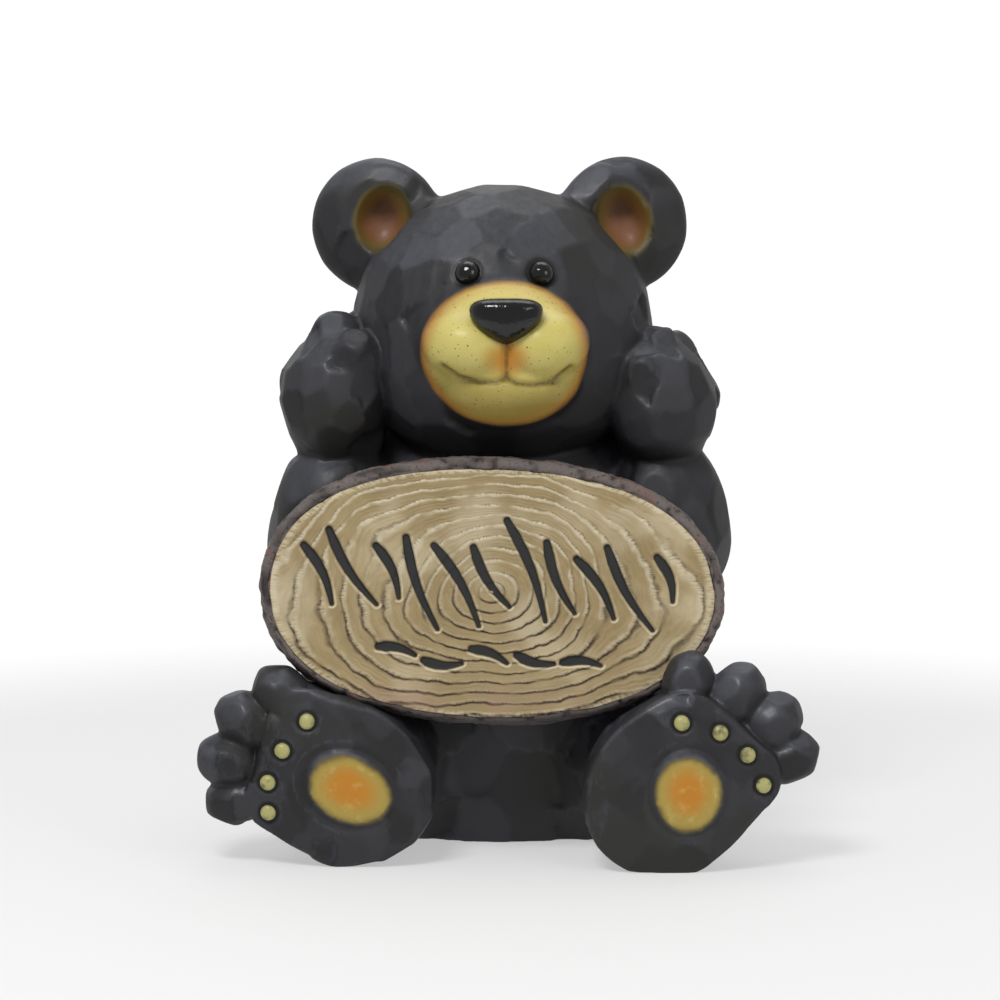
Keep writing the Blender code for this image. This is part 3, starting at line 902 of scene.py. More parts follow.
@dataclass
class Coat:
    """The bear itself: its form, the carver's facets and the marks sunk into it.

    A pair named clear is where facets fade out before a mark: where they still are and where none is.
    """

    anatomy: Anatomy
    finish: CoatFinish
    cell: float = 0.0025
    lowest: Triple = (-47, -43, -2)
    highest: Triple = (47, 32, 102)
    head_facet: float = 0.022
    body_facet: float = 0.030
    paw_facet: float = 0.016
    neck: float = 0.285
    facet_flatness: float = 0.85
    facet_lift: float = 0.0007
    facet_rise: float = 0.0020
    facet_fall: float = 0.0028
    facet_stretch: float = 0.72
    facet_wander: Pair = (55.0, 0.012)
    facet_tries: float = 20000.0
    facet_seed: int = 7
    softening: int = 4
    triangles: int = 196000
    muzzle_melt: float = 0.007
    muzzle_overlap: float = 0.004
    ear_depth: float = -0.029
    feet_below: Pair = (0.152, 0.150)
    feet_front: Pair = (-0.110, -0.112)
    hands_beyond: Pair = (0.078, 0.080)
    hands_from: Pair = (0.276, 0.278)
    hands_to: Pair = (0.352, 0.350)
    muzzle_clear: Pair = (-0.016, -0.001)
    inside_clear: Pair = (0.001, 0.003)
    eye_clear: Pair = (0.022, 0.011)
    pad_clear: Pair = (0.004, 0.001)
    bead_clear: Pair = (0.011, 0.008)
    ear_clear: Pair = (0.008, 0.003)
    ear_front_clear: Pair = (-0.009, 0.000)
    ear_plainness: float = 0.7
    pad_groove: Groove = Groove(0.0018, 0.0045)
    bead_groove: Groove = Groove(0.0014, 0.0022)
    eye_groove: Groove = Groove(0.0007, 0.0034)
    smile_groove: Groove = Groove(0.0022, 0.0034)
    philtrum_groove: Groove = Groove(0.0022, 0.0042)
    bead_ring: float = 0.0062
    eye_ring: float = 0.0086
    ridge_steps: int = 2
    hollow_steps: int = 45
    # The direction of the painted light: faces turned towards it get the painted highlight, faces turned away
    # the painted shade.
    highlight_brush: Triple = (-0.25, -0.5, 0.83)

    def build(self) -> bpy.types.Object:
        """Models the coat.

        Returns:
            The piece.
        """
        tree = self._tree()
        inputs = {
            "Lowest corner": percent(self.lowest),
            "Highest corner": percent(self.highest),
            "Cell size": self.cell,
            "Head facet": self.head_facet,
            "Body facet": self.body_facet,
            "Paw facet": self.paw_facet,
            "Facet seed": self.facet_seed,
            "Softening": self.softening,
            "Paint": self.finish.material(),
        }
        coat = realised("carved_coat", tree, inputs)
        thin = coat.modifiers.new("Thinned", "DECIMATE")
        thin.ratio = min(1.0, self.triangles / sum(len(face.vertices) - 2 for face in coat.data.polygons))
        return applied(coat)

    def _tree(self) -> bpy.types.NodeTree:
        """Writes the node tree.

        Returns:
            The tree, whose inputs are its sizes.
        """
        form = Form("carved coat")
        lowest = form.asked_arrow("Lowest corner", "NodeSocketVector")
        highest = form.asked_arrow("Highest corner", "NodeSocketVector")
        cell = form.asked("Cell size", "NodeSocketFloat")
        place = form.place
        coat = self.anatomy.coat(place)
        hollows = blended(place, self.anatomy.ear_hollows, self.anatomy.creased)
        muzzle = blended(place, self.anatomy.muzzle, self.anatomy.crisp)
        melt = self.anatomy.creased * PERCENT
        whole = coat.cut_by(hollows, melt).joined(muzzle, self.muzzle_melt).most(-place.axis(2))
        counts = [(highest - lowest).axis(index) / cell for index in range(3)]
        volume = form.wire("GeometryNodeVolumeCube", [-whole, -1.0, lowest, highest, *counts])
        surface = form.wire("GeometryNodeVolumeToMesh", [volume, None, None, 0.0, 0.0])
        surface = form.moved(surface, form.normal * -whole)
        points = self._facet_points(form, surface)
        surface = form.wire("GeometryNodeSubdivideMesh", [surface, 1])
        surface = form.moved(surface, form.normal * -whole)
        face = seen_from_front(place, self.anatomy.face_front)
        smile = self.anatomy.smile[0].distance(face).least(self.anatomy.smile[1].distance(face))
        philtrum = self.anatomy.philtrum.distance(face)
        painted = -self.anatomy.muzzle_paint.distance(face)
        marks = {
            Mark.MUZZLE: (coat - muzzle + self.muzzle_overlap).least(painted),
            Mark.EAR: self._ear_mark(place),
            **self._sole_marks(place),
            Mark.MOUTH: smile.least(philtrum),
            Mark.EYE: self._nearest(place, self.anatomy.eyes),
        }
        for mark, value in marks.items():
            surface = form.stored(surface, mark, value)
        surface = self._carved(form, surface, points, 1.0 - self._plain(place, coat, marks))
        sunk = (
            self.pad_groove.sunk(marks[Mark.PAD])
            + self.bead_groove.sunk(marks[Mark.BEAD] - self.bead_ring)
            + self.eye_groove.sunk(marks[Mark.EYE] - self.eye_ring)
            + self.smile_groove.sunk(smile)
            + self.philtrum_groove.sunk(philtrum)
        )
        surface = form.moved(surface, form.normal * -sunk)
        around, wide = form.blurred(place, self.ridge_steps), form.blurred(place, self.hollow_steps)
        surface = form.stored(surface, Mark.RIDGE, (place - around).dot(form.normal) / MILLIMETRE)
        surface = form.stored(surface, Mark.HOLLOW, (place - wide).dot(form.normal) / MILLIMETRE)
        # Stores how far each place faces the painted light, for the coat's painted highlight and painted
        # shade.
        surface = form.stored(surface, Mark.LIT, form.blurred(form.normal, 1).dot(self.highlight_brush))
        surface = form.placed(surface, form.joined(place.axis(0), place.axis(1), place.axis(2).most(0.0)))
        surface = form.wire("GeometryNodeSetShadeSmooth", [surface])
        return form.finished(surface)

    def _ear_mark(self, place: Arrow) -> Number:
        """Measures how deep a place lies in the painted hollow of an ear."""
        seen = seen_from_front(place, self.anatomy.ear_front)
        left, right = (oval.distance(seen) for oval in self.anatomy.ear_paint)
        return (-left.least(right)).least((place.axis(1) - self.ear_depth) * 0.6)

    def _sole_marks(self, place: Arrow) -> dict[Mark, Number]:
        """Measures the marks of the soles.

        Args:
            place: Where they are measured.

        Returns:
            How deep a place lies in a pad, and how far it lies from the nearest bead's middle.
        """
        seen = seen_from_front(place, self.anatomy.soles_front)
        left, right = (pad.distance(seen) for pad in self.anatomy.pads)
        bead = self._nearest(seen, [(across, 0, up) for across, up in self.anatomy.beads])
        return {Mark.PAD: -left.least(right), Mark.BEAD: bead}

    def _plain(self, place: Arrow, coat: Number, marks: Mapping[Mark, Number]) -> Number:
        """Tells where the carver left the surface without facets.

        Args:
            place: Where it is measured.
            coat: The distance to the coat, as it was before it was cut.
            marks: The measures of the marks.

        Returns:
            From 0 where there are facets to 1 where there are none.
        """
        ears = blended(place, self.anatomy.ears, self.anatomy.creased).step(*self.ear_clear)
        ears = ears * place.axis(1).step(*self.ear_front_clear) * self.ear_plainness
        plain = marks[Mark.MUZZLE].step(*self.muzzle_clear).most((-coat).step(*self.inside_clear))
        plain = plain.most(marks[Mark.EYE].step(*self.eye_clear))
        plain = plain.most((-marks[Mark.PAD]).step(*self.pad_clear))
        return plain.most(marks[Mark.BEAD].step(*self.bead_clear)).most(ears)

    @staticmethod
    def _nearest(place: Arrow, spots: Sequence[Triple]) -> Number:
        """Measures the distance to the nearest of some spots.

        Args:
            place: Where it is measured.
            spots: The spots, in hundredths of the height.

        Returns:
            The distance.
        """
        nearest = (place - percent(spots[0])).length()
        for spot in spots[1:]:
            nearest = nearest.least((place - percent(spot)).length())
        return nearest

    def _facet_points(self, form: "Form", surface: Wire) -> Wire:
        """Scatters the middles of the facets, closer on the head than below it.

        Args:
            form: The tree.
            surface: The smooth surface.

        Returns:
            Points that carry the direction each facet faces.
        """
        seed = form.asked("Facet seed", "NodeSocketInt")
        up, across = form.place.axis(2), form.place.axis(0).math("ABSOLUTE")
        on_foot = up.step(*self.feet_below) * form.place.axis(1).step(*self.feet_front)
        on_hand = across.step(*self.hands_beyond) * up.step(*self.hands_from) * up.step(*self.hands_to)
        on_paw = on_foot.most(on_hand)
        on_head = up.step(self.neck, self.neck + 0.001) * (1.0 - on_paw)
        join = form.node("GeometryNodeJoinGeometry", [])
        on_body = 1.0 - on_head.most(on_paw)
        for name, share in (("Head facet", on_head), ("Body facet", on_body), ("Paw facet", on_paw)):
            where = share.math("GREATER_THAN", 0.5)
            inputs = {
                "Mesh": surface,
                "Selection": where,
                "Distance Min": form.asked(name, "NodeSocketFloat"),
                "Density Max": self.facet_tries,
                "Density Factor": 1.0,
                "Seed": seed,
            }
            scattered = form.node("GeometryNodeDistributePointsOnFaces", inputs, distribute_method="POISSON")
            stored = form.wire(
                "GeometryNodeStoreNamedAttribute",
                [Wire(form, scattered.outputs[0]), None, "facing", Wire(form, scattered.outputs[1])],
                data_type="FLOAT_VECTOR",
            )
            form.tree.links.new(stored.socket, join.inputs[0])
        return Wire(form, join.outputs[0])

    def _carved(self, form: "Form", surface: Wire, points: Wire, where: Number) -> Wire:
        """Cuts a flat facet round each point, as a knife leaves them.

        Args:
            form: The tree.
            surface: The smooth surface.
            points: A point in the middle of each facet, which carries the direction that it faces.
            where: Where there are facets, from 0 to 1.

        Returns:
            The carved surface.
        """
        place = form.place
        scale, reach = self.facet_wander
        wander = form.arrow("ShaderNodeTexNoise", {"Vector": place, "Scale": scale, "Detail": 1.0}, "Color")
        stretch = (1.0, 1.0, self.facet_stretch)
        shifted = (place + (wander - (0.5, 0.5, 0.5)) * reach) * stretch
        squeezed = form.placed(points, place * stretch)
        nearest = form.number("GeometryNodeSampleNearest", [squeezed, shifted])
        carried = form.arrow("GeometryNodeInputNamedAttribute", ["facing"], data_type="FLOAT_VECTOR")
        middle = form.arrow("GeometryNodeSampleIndex", [points, place, nearest], data_type="FLOAT_VECTOR")
        facing = form.arrow("GeometryNodeSampleIndex", [points, carried, nearest], data_type="FLOAT_VECTOR")
        height = (place - middle).dot(facing).most(-self.facet_rise).least(self.facet_fall)
        agreed = facing.dot(form.normal).step(0.5, 0.8)
        push = facing * ((-height - self.facet_lift) * agreed * where * self.facet_flatness)
        softened = form.blurred(push, form.asked("Softening", "NodeSocketInt"))
        tint = form.number("FunctionNodeRandomValue", {2: 0.0, 3: 1.0, "ID": nearest}, 1, data_type="FLOAT")
        surface = form.stored(surface, Mark.FACET, tint)
        return form.moved(surface, softened)


class Form(Tree):
    """A geometry node tree with named inputs that ends in real faces and one material."""

    def __init__(self, name: str) -> None:
        """Starts the tree.

        Args:
            name: The tree's name.
        """
        super().__init__(bpy.data.node_groups.new(name, "GeometryNodeTree"))
        self.tree.interface.new_socket("Geometry", in_out="INPUT", socket_type="NodeSocketGeometry")
        self.tree.interface.new_socket("Geometry", in_out="OUTPUT", socket_type="NodeSocketGeometry")
        self.inputs = self.tree.nodes.new("NodeGroupInput")
        self.place = self.arrow("GeometryNodeInputPosition", [])
        self.normal = self.arrow("GeometryNodeInputNormal", [])

    def asked(self, name: str, kind: str) -> Number:
        """Adds a named input and gives it as a number, or as what its node takes."""
        self.tree.interface.new_socket(name, in_out="INPUT", socket_type=kind)
        return Number(self, self.inputs.outputs[name])

    def asked_arrow(self, name: str, kind: str) -> Arrow:
        """Adds a named input and gives it as a vector."""
        return Arrow(self, self.asked(name, kind).socket)

    def moved(self, surface: Wire, offset: Arrow) -> Wire:
        """Moves the points of a surface by an offset."""
        return self.wire("GeometryNodeSetPosition", {"Geometry": surface, "Offset": offset})

    def placed(self, surface: Wire, position: Arrow) -> Wire:
        """Moves the points of a surface to new places."""
        return self.wire("GeometryNodeSetPosition", {"Geometry": surface, "Position": position})

    def stored(self, surface: Wire, mark: Mark, value: Number) -> Wire:
        """Keeps a number on the points of a surface."""
        inputs = {"Geometry": surface, "Name": mark.value, "Value": value}
        return self.wire("GeometryNodeStoreNamedAttribute", inputs, data_type="FLOAT", domain="POINT")

    def blurred(self, value: Arrow, steps: Number | int) -> Arrow:
        """Averages a vector with its neighbours on the surface, this many times."""
        return self.arrow("GeometryNodeBlurAttribute", [value, steps], data_type="FLOAT_VECTOR")

    def finished(self, surface: Wire) -> bpy.types.NodeTree:
        """Ends the tree in real faces with the paint that is asked for.

        Args:
            surface: The geometry.

        Returns:
            The tree.
        """
        surface = self.wire("GeometryNodeRealizeInstances", [surface])
        paint = self.asked("Paint", "NodeSocketMaterial")
        painted = self.wire("GeometryNodeSetMaterial", [surface, None, paint])
        end = self.tree.nodes.new("NodeGroupOutput")
        self.tree.links.new(painted.socket, end.inputs[0])
        return self.tree


def new_piece(name: str, mesh: bpy.types.Mesh) -> bpy.types.Object:
    """Puts a mesh in the scene as an object at the origin."""
    piece = bpy.data.objects.new(name, mesh)
    bpy.context.scene.collection.objects.link(piece)
    return piece


def applied(piece: bpy.types.Object) -> bpy.types.Object:
    """Makes a piece's modifiers part of its mesh.

    Args:
        piece: The piece.

    Returns:
        The same piece, with a plain mesh.
    """
    evaluated = piece.evaluated_get(bpy.context.evaluated_depsgraph_get())
    mesh = bpy.data.meshes.new_from_object(evaluated)
    piece.modifiers.clear()
    piece.data = mesh
    mesh.name = piece.name
    return piece


def realised(name: str, tree: bpy.types.NodeTree, inputs: Mapping[str, object]) -> bpy.types.Object:
    """Makes a piece of a geometry node tree.

    Args:
        name: The piece's name.
        tree: The tree.
        inputs: Values for the tree's named inputs.

    Returns:
        The piece, with a plain mesh.
    """
    piece = new_piece(name, bpy.data.meshes.new(name))
    modifier = piece.modifiers.new(name, "NODES")
    modifier.node_group = tree
    for item in tree.interface.items_tree:
        if item.in_out == "INPUT" and item.name in inputs:
            modifier[item.identifier] = inputs[item.name]
    return applied(piece)


@dataclass
class Face:
    """The gloss nose and eyes."""

    anatomy: Anatomy
    finish: GlossFinish
    nose_at: Triple = (-0.0006, -0.1335, 0.3545)
    nose_half_width: float = 0.0235
    nose_half_depth: float = 0.0150
    nose_above: float = 0.0082
    nose_below: float = 0.0215
    nose_squareness: Pair = (2.35, 0.65)
    nose_taper: float = 0.22
    nose_faces: int = 128
    eye_faces: int = 64
    eye_half: Triple = (0.0084, 0.0088, 0.0086)

    def build(self) -> list[bpy.types.Object]:
        """Models the nose and both eyes.

        Returns:
            The pieces.
        """
        paint = self.finish.material()
        pieces = [self._nose()]
        for side, at in zip(("left", "right"), self.anatomy.eyes):
            pieces.append(ball(f"eye_{side}", percent(at), self.eye_half, self.eye_faces))
        for piece in pieces:
            piece.data.materials.append(paint)
        return pieces

    def _nose(self) -> bpy.types.Object:
        """Models the nose: broad and flat above, drawn to a blunt point below.

        Returns:
            The piece.
        """
        nose = ball("nose", Vector(), (1.0, 1.0, 1.0), self.nose_faces)
        points = read_points(nose.data)
        across, deep, up = points.T
        power = self.nose_squareness[0] + self.nose_squareness[1] * up
        reach = (np.abs(across) ** power + np.abs(deep) ** power + np.abs(up) ** power) ** (-1 / power)
        points = points * reach[:, None]
        across, deep, up = points.T
        width = (1.0 - self.nose_taper * np.clip(-up, 0, 1) ** 1.5) * self.nose_half_width
        height = np.where(up > 0, self.nose_above, self.nose_below)
        points = np.stack([across * width, deep * self.nose_half_depth, up * height], axis=1)
        write_points(nose.data, points + np.array(self.nose_at))
        return nose


def ball(name: str, at: Vector, half: Triple, segments: int) -> bpy.types.Object:
    """Models a smooth ellipsoid as a piece of its own.

    Args:
        name: The piece's name.
        at: Its middle.
        half: Its half sizes.
        segments: How many faces go round it.

    Returns:
        The piece.
    """
    shape = bmesh.new()
    add_ball(shape, Matrix.Translation(at) @ Matrix.Diagonal((*half, 1.0)), segments)
    return new_piece(name, mesh_of(name, shape))


def add_ball(shape: bmesh.types.BMesh, place: Matrix, segments: int) -> None:
    """Adds a ball of radius one, placed and sized by a matrix, with this many faces round it."""
    bmesh.ops.create_uvsphere(shape, u_segments=segments, v_segments=segments // 2, radius=1.0, matrix=place)


def mesh_of(name: str, shape: bmesh.types.BMesh) -> bpy.types.Mesh:
    """Turns a finished shape into a smooth mesh and frees it.

    Args:
        name: The mesh's name.
        shape: The shape.

    Returns:
        The mesh.
    """
    mesh = bpy.data.meshes.new(name)
    shape.to_mesh(mesh)
    shape.free()
    mesh.shade_smooth()
    return mesh


def read_points(mesh: bpy.types.Mesh) -> np.ndarray:
    """Reads a mesh's points as rows of X, Y and Z."""
    points = np.zeros(len(mesh.vertices) * 3, np.float32)
    mesh.vertices.foreach_get("co", points)
    return points.reshape(-1, 3).astype(float)


def write_points(mesh: bpy.types.Mesh, points: np.ndarray) -> None:
    """Moves a mesh's points."""
    mesh.vertices.foreach_set("co", points.astype(np.float32).ravel())
    mesh.update()


@dataclass
class ToeBeads:
    """The small domes on the soles, under the toes."""

    anatomy: Anatomy
    finish: BeadFinish
    radius: float = 0.0050
    height: float = 0.0030
    bedded: float = 0.0004
    faces: int = 40

    def build(self, coat: bpy.types.Object) -> bpy.types.Object:
        """Models the domes where the soles are.

        Args:
            coat: The bear's coat.

        Returns:
            The domes as one piece.
        """
        surface = BVHTree.FromObject(coat, bpy.context.evaluated_depsgraph_get())
        shape = bmesh.new()
        for across, up in self.anatomy.beads:
            start = percent((across, self.anatomy.soles_front * 2, up))
            at, facing, _, _ = surface.ray_cast(start, Vector((0, 1, 0)))
            turn = facing.to_track_quat("Z", "Y").to_matrix().to_4x4()
            size = Matrix.Diagonal((self.radius, self.radius, self.height, 1.0))
            place = Matrix.Translation(at - facing * self.bedded) @ turn @ size
            add_ball(shape, place, self.faces)
        beads = new_piece("toe_beads", mesh_of("toe_beads", shape))
        beads.data.materials.append(self.finish.material())
        return beads


class Grain(str, Enum):
    """The attributes that the sign's mesh carries for its paint."""

    RING = "ring"
    STROKE = "stroke"
    BELOW = "below"
    CRACK = "crack"


@dataclass(frozen=True)
class WoodFinish:
    """The sign's face: tan wood with cream crests, brown grooves and charcoal strokes.

    A stroke's lip is the pale line along its lower side, a painted highlight. The crests are painted lighter
    in the upper half and the grooves darker in the lower half: painted highlight and painted shade.
    """

    tan: Colour = shade(132, 112, 72)
    straw: Colour = shade(170, 151, 110)
    cream: Colour = shade(212, 200, 170)
    brown: Colour = shade(62, 46, 32)
    pink: Colour = shade(148, 118, 98)
    charcoal: Colour = shade(17, 16, 16)
    roughness: float = 0.62
    relief: float = 0.0009
    relief_strength: float = 0.8
    pith: float = 0.02
    crest: Pair = (0.80, 0.22)
    lip_gap: float = 0.0009
    lip_reach: float = 0.0012
    stroke_edge: float = 0.0008

    def material(self, stroke_width: float) -> bpy.types.Material:
        """Mixes the paint. Ring shares run outwards, from 0 at a ring's inner edge to 1 at its outer one.

        Args:
            stroke_width: How wide the strokes are.

        Returns:
            The material.
        """
        paint = Paint("cut_wood")
        disc = paint.arrow("ShaderNodeUVMap", [], uv_map="disc")
        reach = disc.length()
        ray = disc * (1.0 / reach.most(self.pith))
        up = ray.axis(1)
        ring = paint.attribute(Grain.RING)
        share = ring.math("FRACT")
        fine = paint.noise(paint.joined(ring * 7.0, ray.axis(0) * 4.0, up * 4.0), 1.0, 4.0, 0.65)
        rays = paint.noise(paint.joined(ray.axis(0) * 60.0, up * 60.0, ring * 2.2), 1.0, 2.0, 0.6)
        blotch = paint.noise(paint.place, 26.0, 4.0, 0.6)
        patch = paint.noise(paint.place, 75.0, 2.0)
        colour = paint.mixed((fine * 1.2 + blotch * 1.3 - 0.8).clamped(), self.tan, self.straw)
        colour = paint.mixed(paint.noise(paint.place, 19.0, 2.0).step(0.50, 0.68) * 0.4, colour, self.cream)
        crest = share.bell(*self.crest) * patch.step(0.30, 0.56)
        # Cream on the crests: partly dry brushing, partly painted highlight, as it is stronger in the upper
        # half, where the crests face the light.
        colour = paint.mixed((crest * (0.60 + up * 0.40)).clamped(), colour, self.cream)
        groove = share.step(0.88, 0.94) + share.step(0.12, 0.0)
        ticks = rays.step(0.44, 0.62) * patch.step(0.40, 0.56)
        # Brown in the grooves: thin everywhere, and painted shade in the lower half, where the grooves face
        # away from the light.
        groove_wash_and_shade = groove * (0.22 - up * 0.62).clamped() * patch.step(0.25, 0.5) + groove * 0.12
        colour = paint.mixed((groove_wash_and_shade + ticks * share.bell(0.92, 0.30) * 0.45).clamped(), colour, self.brown)
        colour = paint.mixed(reach.step(0.955, 0.985) * rays.step(0.35, 0.6) * 0.6, colour, self.cream)
        low = (disc.axis(1).step(-0.66, -0.95) * 0.8).clamped()
        colour = paint.mixed(low * blotch.step(0.35, 0.6), colour, self.pink)
        stroke, below = paint.attribute(Grain.STROKE), paint.attribute(Grain.BELOW)
        half = stroke_width / 2
        # Painted highlight: a pale line just outside each stroke, on its lower side only, where the light
        # falls on it.
        lip = stroke.bell(half + self.lip_gap, self.lip_reach) * below.step(-0.2, 0.7)
        colour = paint.mixed((lip * (0.25 + fine)).clamped(), colour, self.cream)
        inside = stroke.step(half, half - self.stroke_edge)
        colour = paint.mixed(inside, colour, self.charcoal)
        paint.feed("Base Color", colour)
        paint.feed("Roughness", self.roughness + (fine - 0.5) * 0.2)
        relief = fine * 0.6 - ticks * share.bell(0.92, 0.30) * 0.5 + blotch * 0.2
        paint.bump(relief * (1.0 - inside * 0.7), self.relief, self.relief_strength)
        return paint.material


@dataclass(frozen=True)
class BarkFinish:
    """The bark: grey brown, cracked dark, with brushwork of a dull red."""

    grey: Colour = shade(100, 91, 88)
    red: Colour = shade(116, 84, 72)
    pale: Colour = shade(124, 114, 108)
    crack: Colour = shade(22, 19, 18)
    roughness: float = 0.7
    relief: float = 0.0012
    relief_strength: float = 0.9
    shaded: Pair = (0.13, 0.10)

    def material(self) -> bpy.types.Material:
        """Mixes the paint.

        Returns:
            The material.
        """
        paint = Paint("bark", Roughness=self.roughness)
        patches = paint.noise(paint.place, 70.0, 4.0, 0.65)
        fine = paint.noise(paint.place, 420.0, 3.0, 0.6)
        colour = paint.mixed(patches.step(0.50, 0.68) * 0.7, self.grey, self.red)
        colour = paint.mixed(fine.step(0.52, 0.75) * 0.5, colour, self.pale)
        depth = paint.attribute(Grain.CRACK)
        colour = paint.mixed((depth + fine.step(0.44, 0.30) * 0.7).clamped(), colour, self.crack)
        colour = paint.mixed(paint.place.axis(2).step(*self.shaded) * 0.6, colour, self.crack)
        paint.feed("Base Color", colour)
        paint.bump(patches * 0.6 + fine * 0.4, self.relief, self.relief_strength)
        return paint.material


@dataclass
class LogSlice:
    """The sign: an oval slab of log with bark round it, whose face is a relief of rings and strokes.

    The probe is a small step to the left and up, which tells a stroke's lower side from its upper one.
    """

    wood: WoodFinish
    bark: BarkFinish
    width: float = 0.2855
    height: float = 0.160
    thickness: float = 0.030
    lean: float = math.radians(14.5)
    roll: float = math.radians(1.5)
    squareness: float = 0.036
    unevenness: float = 0.010
    bark_thickness: float = 0.0066
    bark_top_share: float = 0.45
    seat: Triple = (-2.3, -22.4, 37.0)
    rings: int = 12
    ring_depth: float = 0.0016
    ring_crest: float = 0.86
    pith_roundness: float = 0.42
    ring_power: float = 1.8
    ring_growth: float = 0.00016
    rim_drop: float = 0.0009
    knot_at: Pair = (-0.052, 0.020)
    knot_size: Pair = (0.034, 0.020)
    knot_rings: float = 1.3
    stroke_width: float = 0.0074
    stroke_depth: float = 0.0024
    stroke_taper: float = 0.62
    stroke_edge: float = 0.0011
    stroke_steps: int = 6
    probe: Pair = (0.0003, 0.0006)
    lip_height: float = 0.0005
    lip_gap: float = 0.0010
    lip_reach: float = 0.0009
    long_strokes: int = 11
    short_strokes: int = 5
    around: int = 600
    rows: int = 140
    bark_rows: int = 16
    bark_start: tuple[Pair, ...] = ((0.0004, -0.0016), (0.0009, -0.0006), (0.0016, 0.0))
    bark_lump: float = 0.0016
    bark_grain: float = 0.0009
    crack_narrowness: float = 0.14
    crack_depth: float = 0.0012
    crack_pinch: float = 0.0009

    def build(self) -> bpy.types.Object:
        """Models the slab.

        Returns:
            The piece.
        """
        angle = np.linspace(0, 2 * math.pi, self.around, endpoint=False)
        share = np.linspace(0.012, 1.0, self.rows)
        rim = self._bark_section()
        reach = np.concatenate([share, np.ones(len(rim))])
        out = np.concatenate([np.zeros(self.rows), [side for side, _ in rim]])
        down = np.concatenate([np.zeros(self.rows), [depth for _, depth in rim]])
        reach, turn = np.meshgrid(reach, angle, indexing="ij")
        on_bark = (np.arange(len(out)) >= self.rows)[:, None] * np.ones_like(reach)
        lumps, cracks = self._bark_relief(turn, on_bark, down)
        grow = self._grow(turn)
        thicker = 1.0 + self.bark_top_share * np.sin(turn)
        stands = out[:, None] * thicker * grow
        x = (self.width / 2 * reach * grow + stands + lumps) * np.cos(turn)
        y = (self.height / 2 * reach * grow + stands + lumps) * np.sin(turn)
        ring = self._ring(reach, turn, x, y)
        stroke = self._stroke_distance(x, y)
        across, high = self.probe
        below = (stroke - self._stroke_distance(x - across, y + high)) / high
        inside = self._inside(stroke)
        face = self._ring_relief(ring, x, y, reach) * (1 - inside) - inside * self.stroke_depth
        lip = (stroke - self.stroke_width / 2 - self.lip_gap) / self.lip_reach
        face = face + np.exp(-(lip**2)) * self.lip_height
        z = np.where(on_bark > 0, down[:, None] - cracks * self.crack_depth, face)
        middles = [(0.0, 0.0, float(z[0].mean())), (0.0, 0.0, -self.thickness)]
        mesh = self._mesh(np.stack([x, y, z], axis=-1), middles)
        for grain, values, at_middles in (
            (Grain.RING, ring, 0.0),
            (Grain.STROKE, stroke, 1.0),
            (Grain.BELOW, below, 0.0),
            (Grain.CRACK, cracks, 0.0),
        ):
            self._store(mesh, grain, np.append(values.ravel(), [at_middles, at_middles]))
        disc = np.stack([reach * np.cos(turn), reach * np.sin(turn)], axis=-1).reshape(-1, 2)
        self._store_disc(mesh, np.concatenate([disc, np.zeros((2, 2))]))
        mesh.transform(self.matrix())
        mesh.shade_smooth()
        mesh.materials.append(self.wood.material(self.stroke_width))
        mesh.materials.append(self.bark.material())
        return new_piece("log_slice", mesh)

    def matrix(self) -> Matrix:
        """Places the slab: its face leans back, its grain rolls a little, and its back is in the belly.

        Returns:
            The matrix from the slab's own frame, whose face looks along +Z.
        """
        turn = Matrix.Rotation(math.pi / 2 - self.lean, 4, "X") @ Matrix.Rotation(-self.roll, 4, "Z")
        middle_of_face = percent(self.seat) + turn.to_3x3() @ Vector((0, 0, self.thickness))
        return Matrix.Translation(middle_of_face) @ turn

    def _grow(self, angle: np.ndarray) -> np.ndarray:
        """Gives how far the outline stands out of a true oval.

        Args:
            angle: Round the slab before it is pressed flat.

        Returns:
            A factor round one.
        """
        waves = np.sin(3 * angle + 1.0) + 0.6 * np.sin(5 * angle + 2.2)
        return 1 + np.sin(2 * angle) ** 2 * self.squareness + waves * self.unevenness / 2

    def _bark_section(self) -> list[Pair]:
        """Gives the bark's section as steps outwards and down, from the edge of the face to the back.

        Returns:
            Pairs of the distance out and the height under the face.
        """
        section = list(self.bark_start)
        steps = self.bark_rows - len(section)
        for step in range(1, steps + 1):
            share = step / steps
            round_off = math.sin(math.pi * min(1.0, 0.08 + share * 0.9)) ** 0.6
            bulge = self.bark_thickness * (0.40 + 0.60 * round_off)
            section.append((bulge, -self.thickness * share**1.25))
        return section

    def _bark_relief(self, turn: np.ndarray, on_bark: np.ndarray, down: np.ndarray) -> Grids:
        """Roughens the bark.

        Args:
            turn: The angle of every point.
            on_bark: Which points are bark.
            down: The height of every row.

        Returns:
            How far each point stands out, and how far it lies in a crack.
        """
        lumps, cracks = np.zeros_like(turn), np.zeros_like(turn)
        for row, column in zip(*np.nonzero(on_bark)):
            angle = turn[row, column]
            spot = Vector((math.cos(angle) * 0.14, math.sin(angle) * 0.08, down[row] * 2))
            lump, grain = noise.noise(spot * 60), noise.noise(spot * 210)
            lumps[row, column] = lump * self.bark_lump + grain * self.bark_grain
            split = abs(noise.noise(Vector((spot.x * 38, spot.y * 38, spot.z * 120 + 5))))
            cracks[row, column] = max(0.0, 1 - split / self.crack_narrowness)
            if row == self.rows:
                cracks[row, column] = 0.5 + noise.noise(spot * 90)
        return lumps - cracks * self.crack_pinch * on_bark, cracks

    @staticmethod
    def _clouds(x: np.ndarray, y: np.ndarray, scale: float, seed: float) -> np.ndarray:
        """Gives smooth noise over the face, about nothing on average.

        Args:
            x: Across the slab.
            y: Up the slab.
            scale: Clouds a metre.
            seed: A number that picks the pattern.

        Returns:
            The noise.
        """
        spots = np.stack([x * scale, y * scale, np.full_like(x, seed)], axis=-1).reshape(-1, 3).tolist()
        return np.array([noise.noise(spot) for spot in spots]).reshape(x.shape)

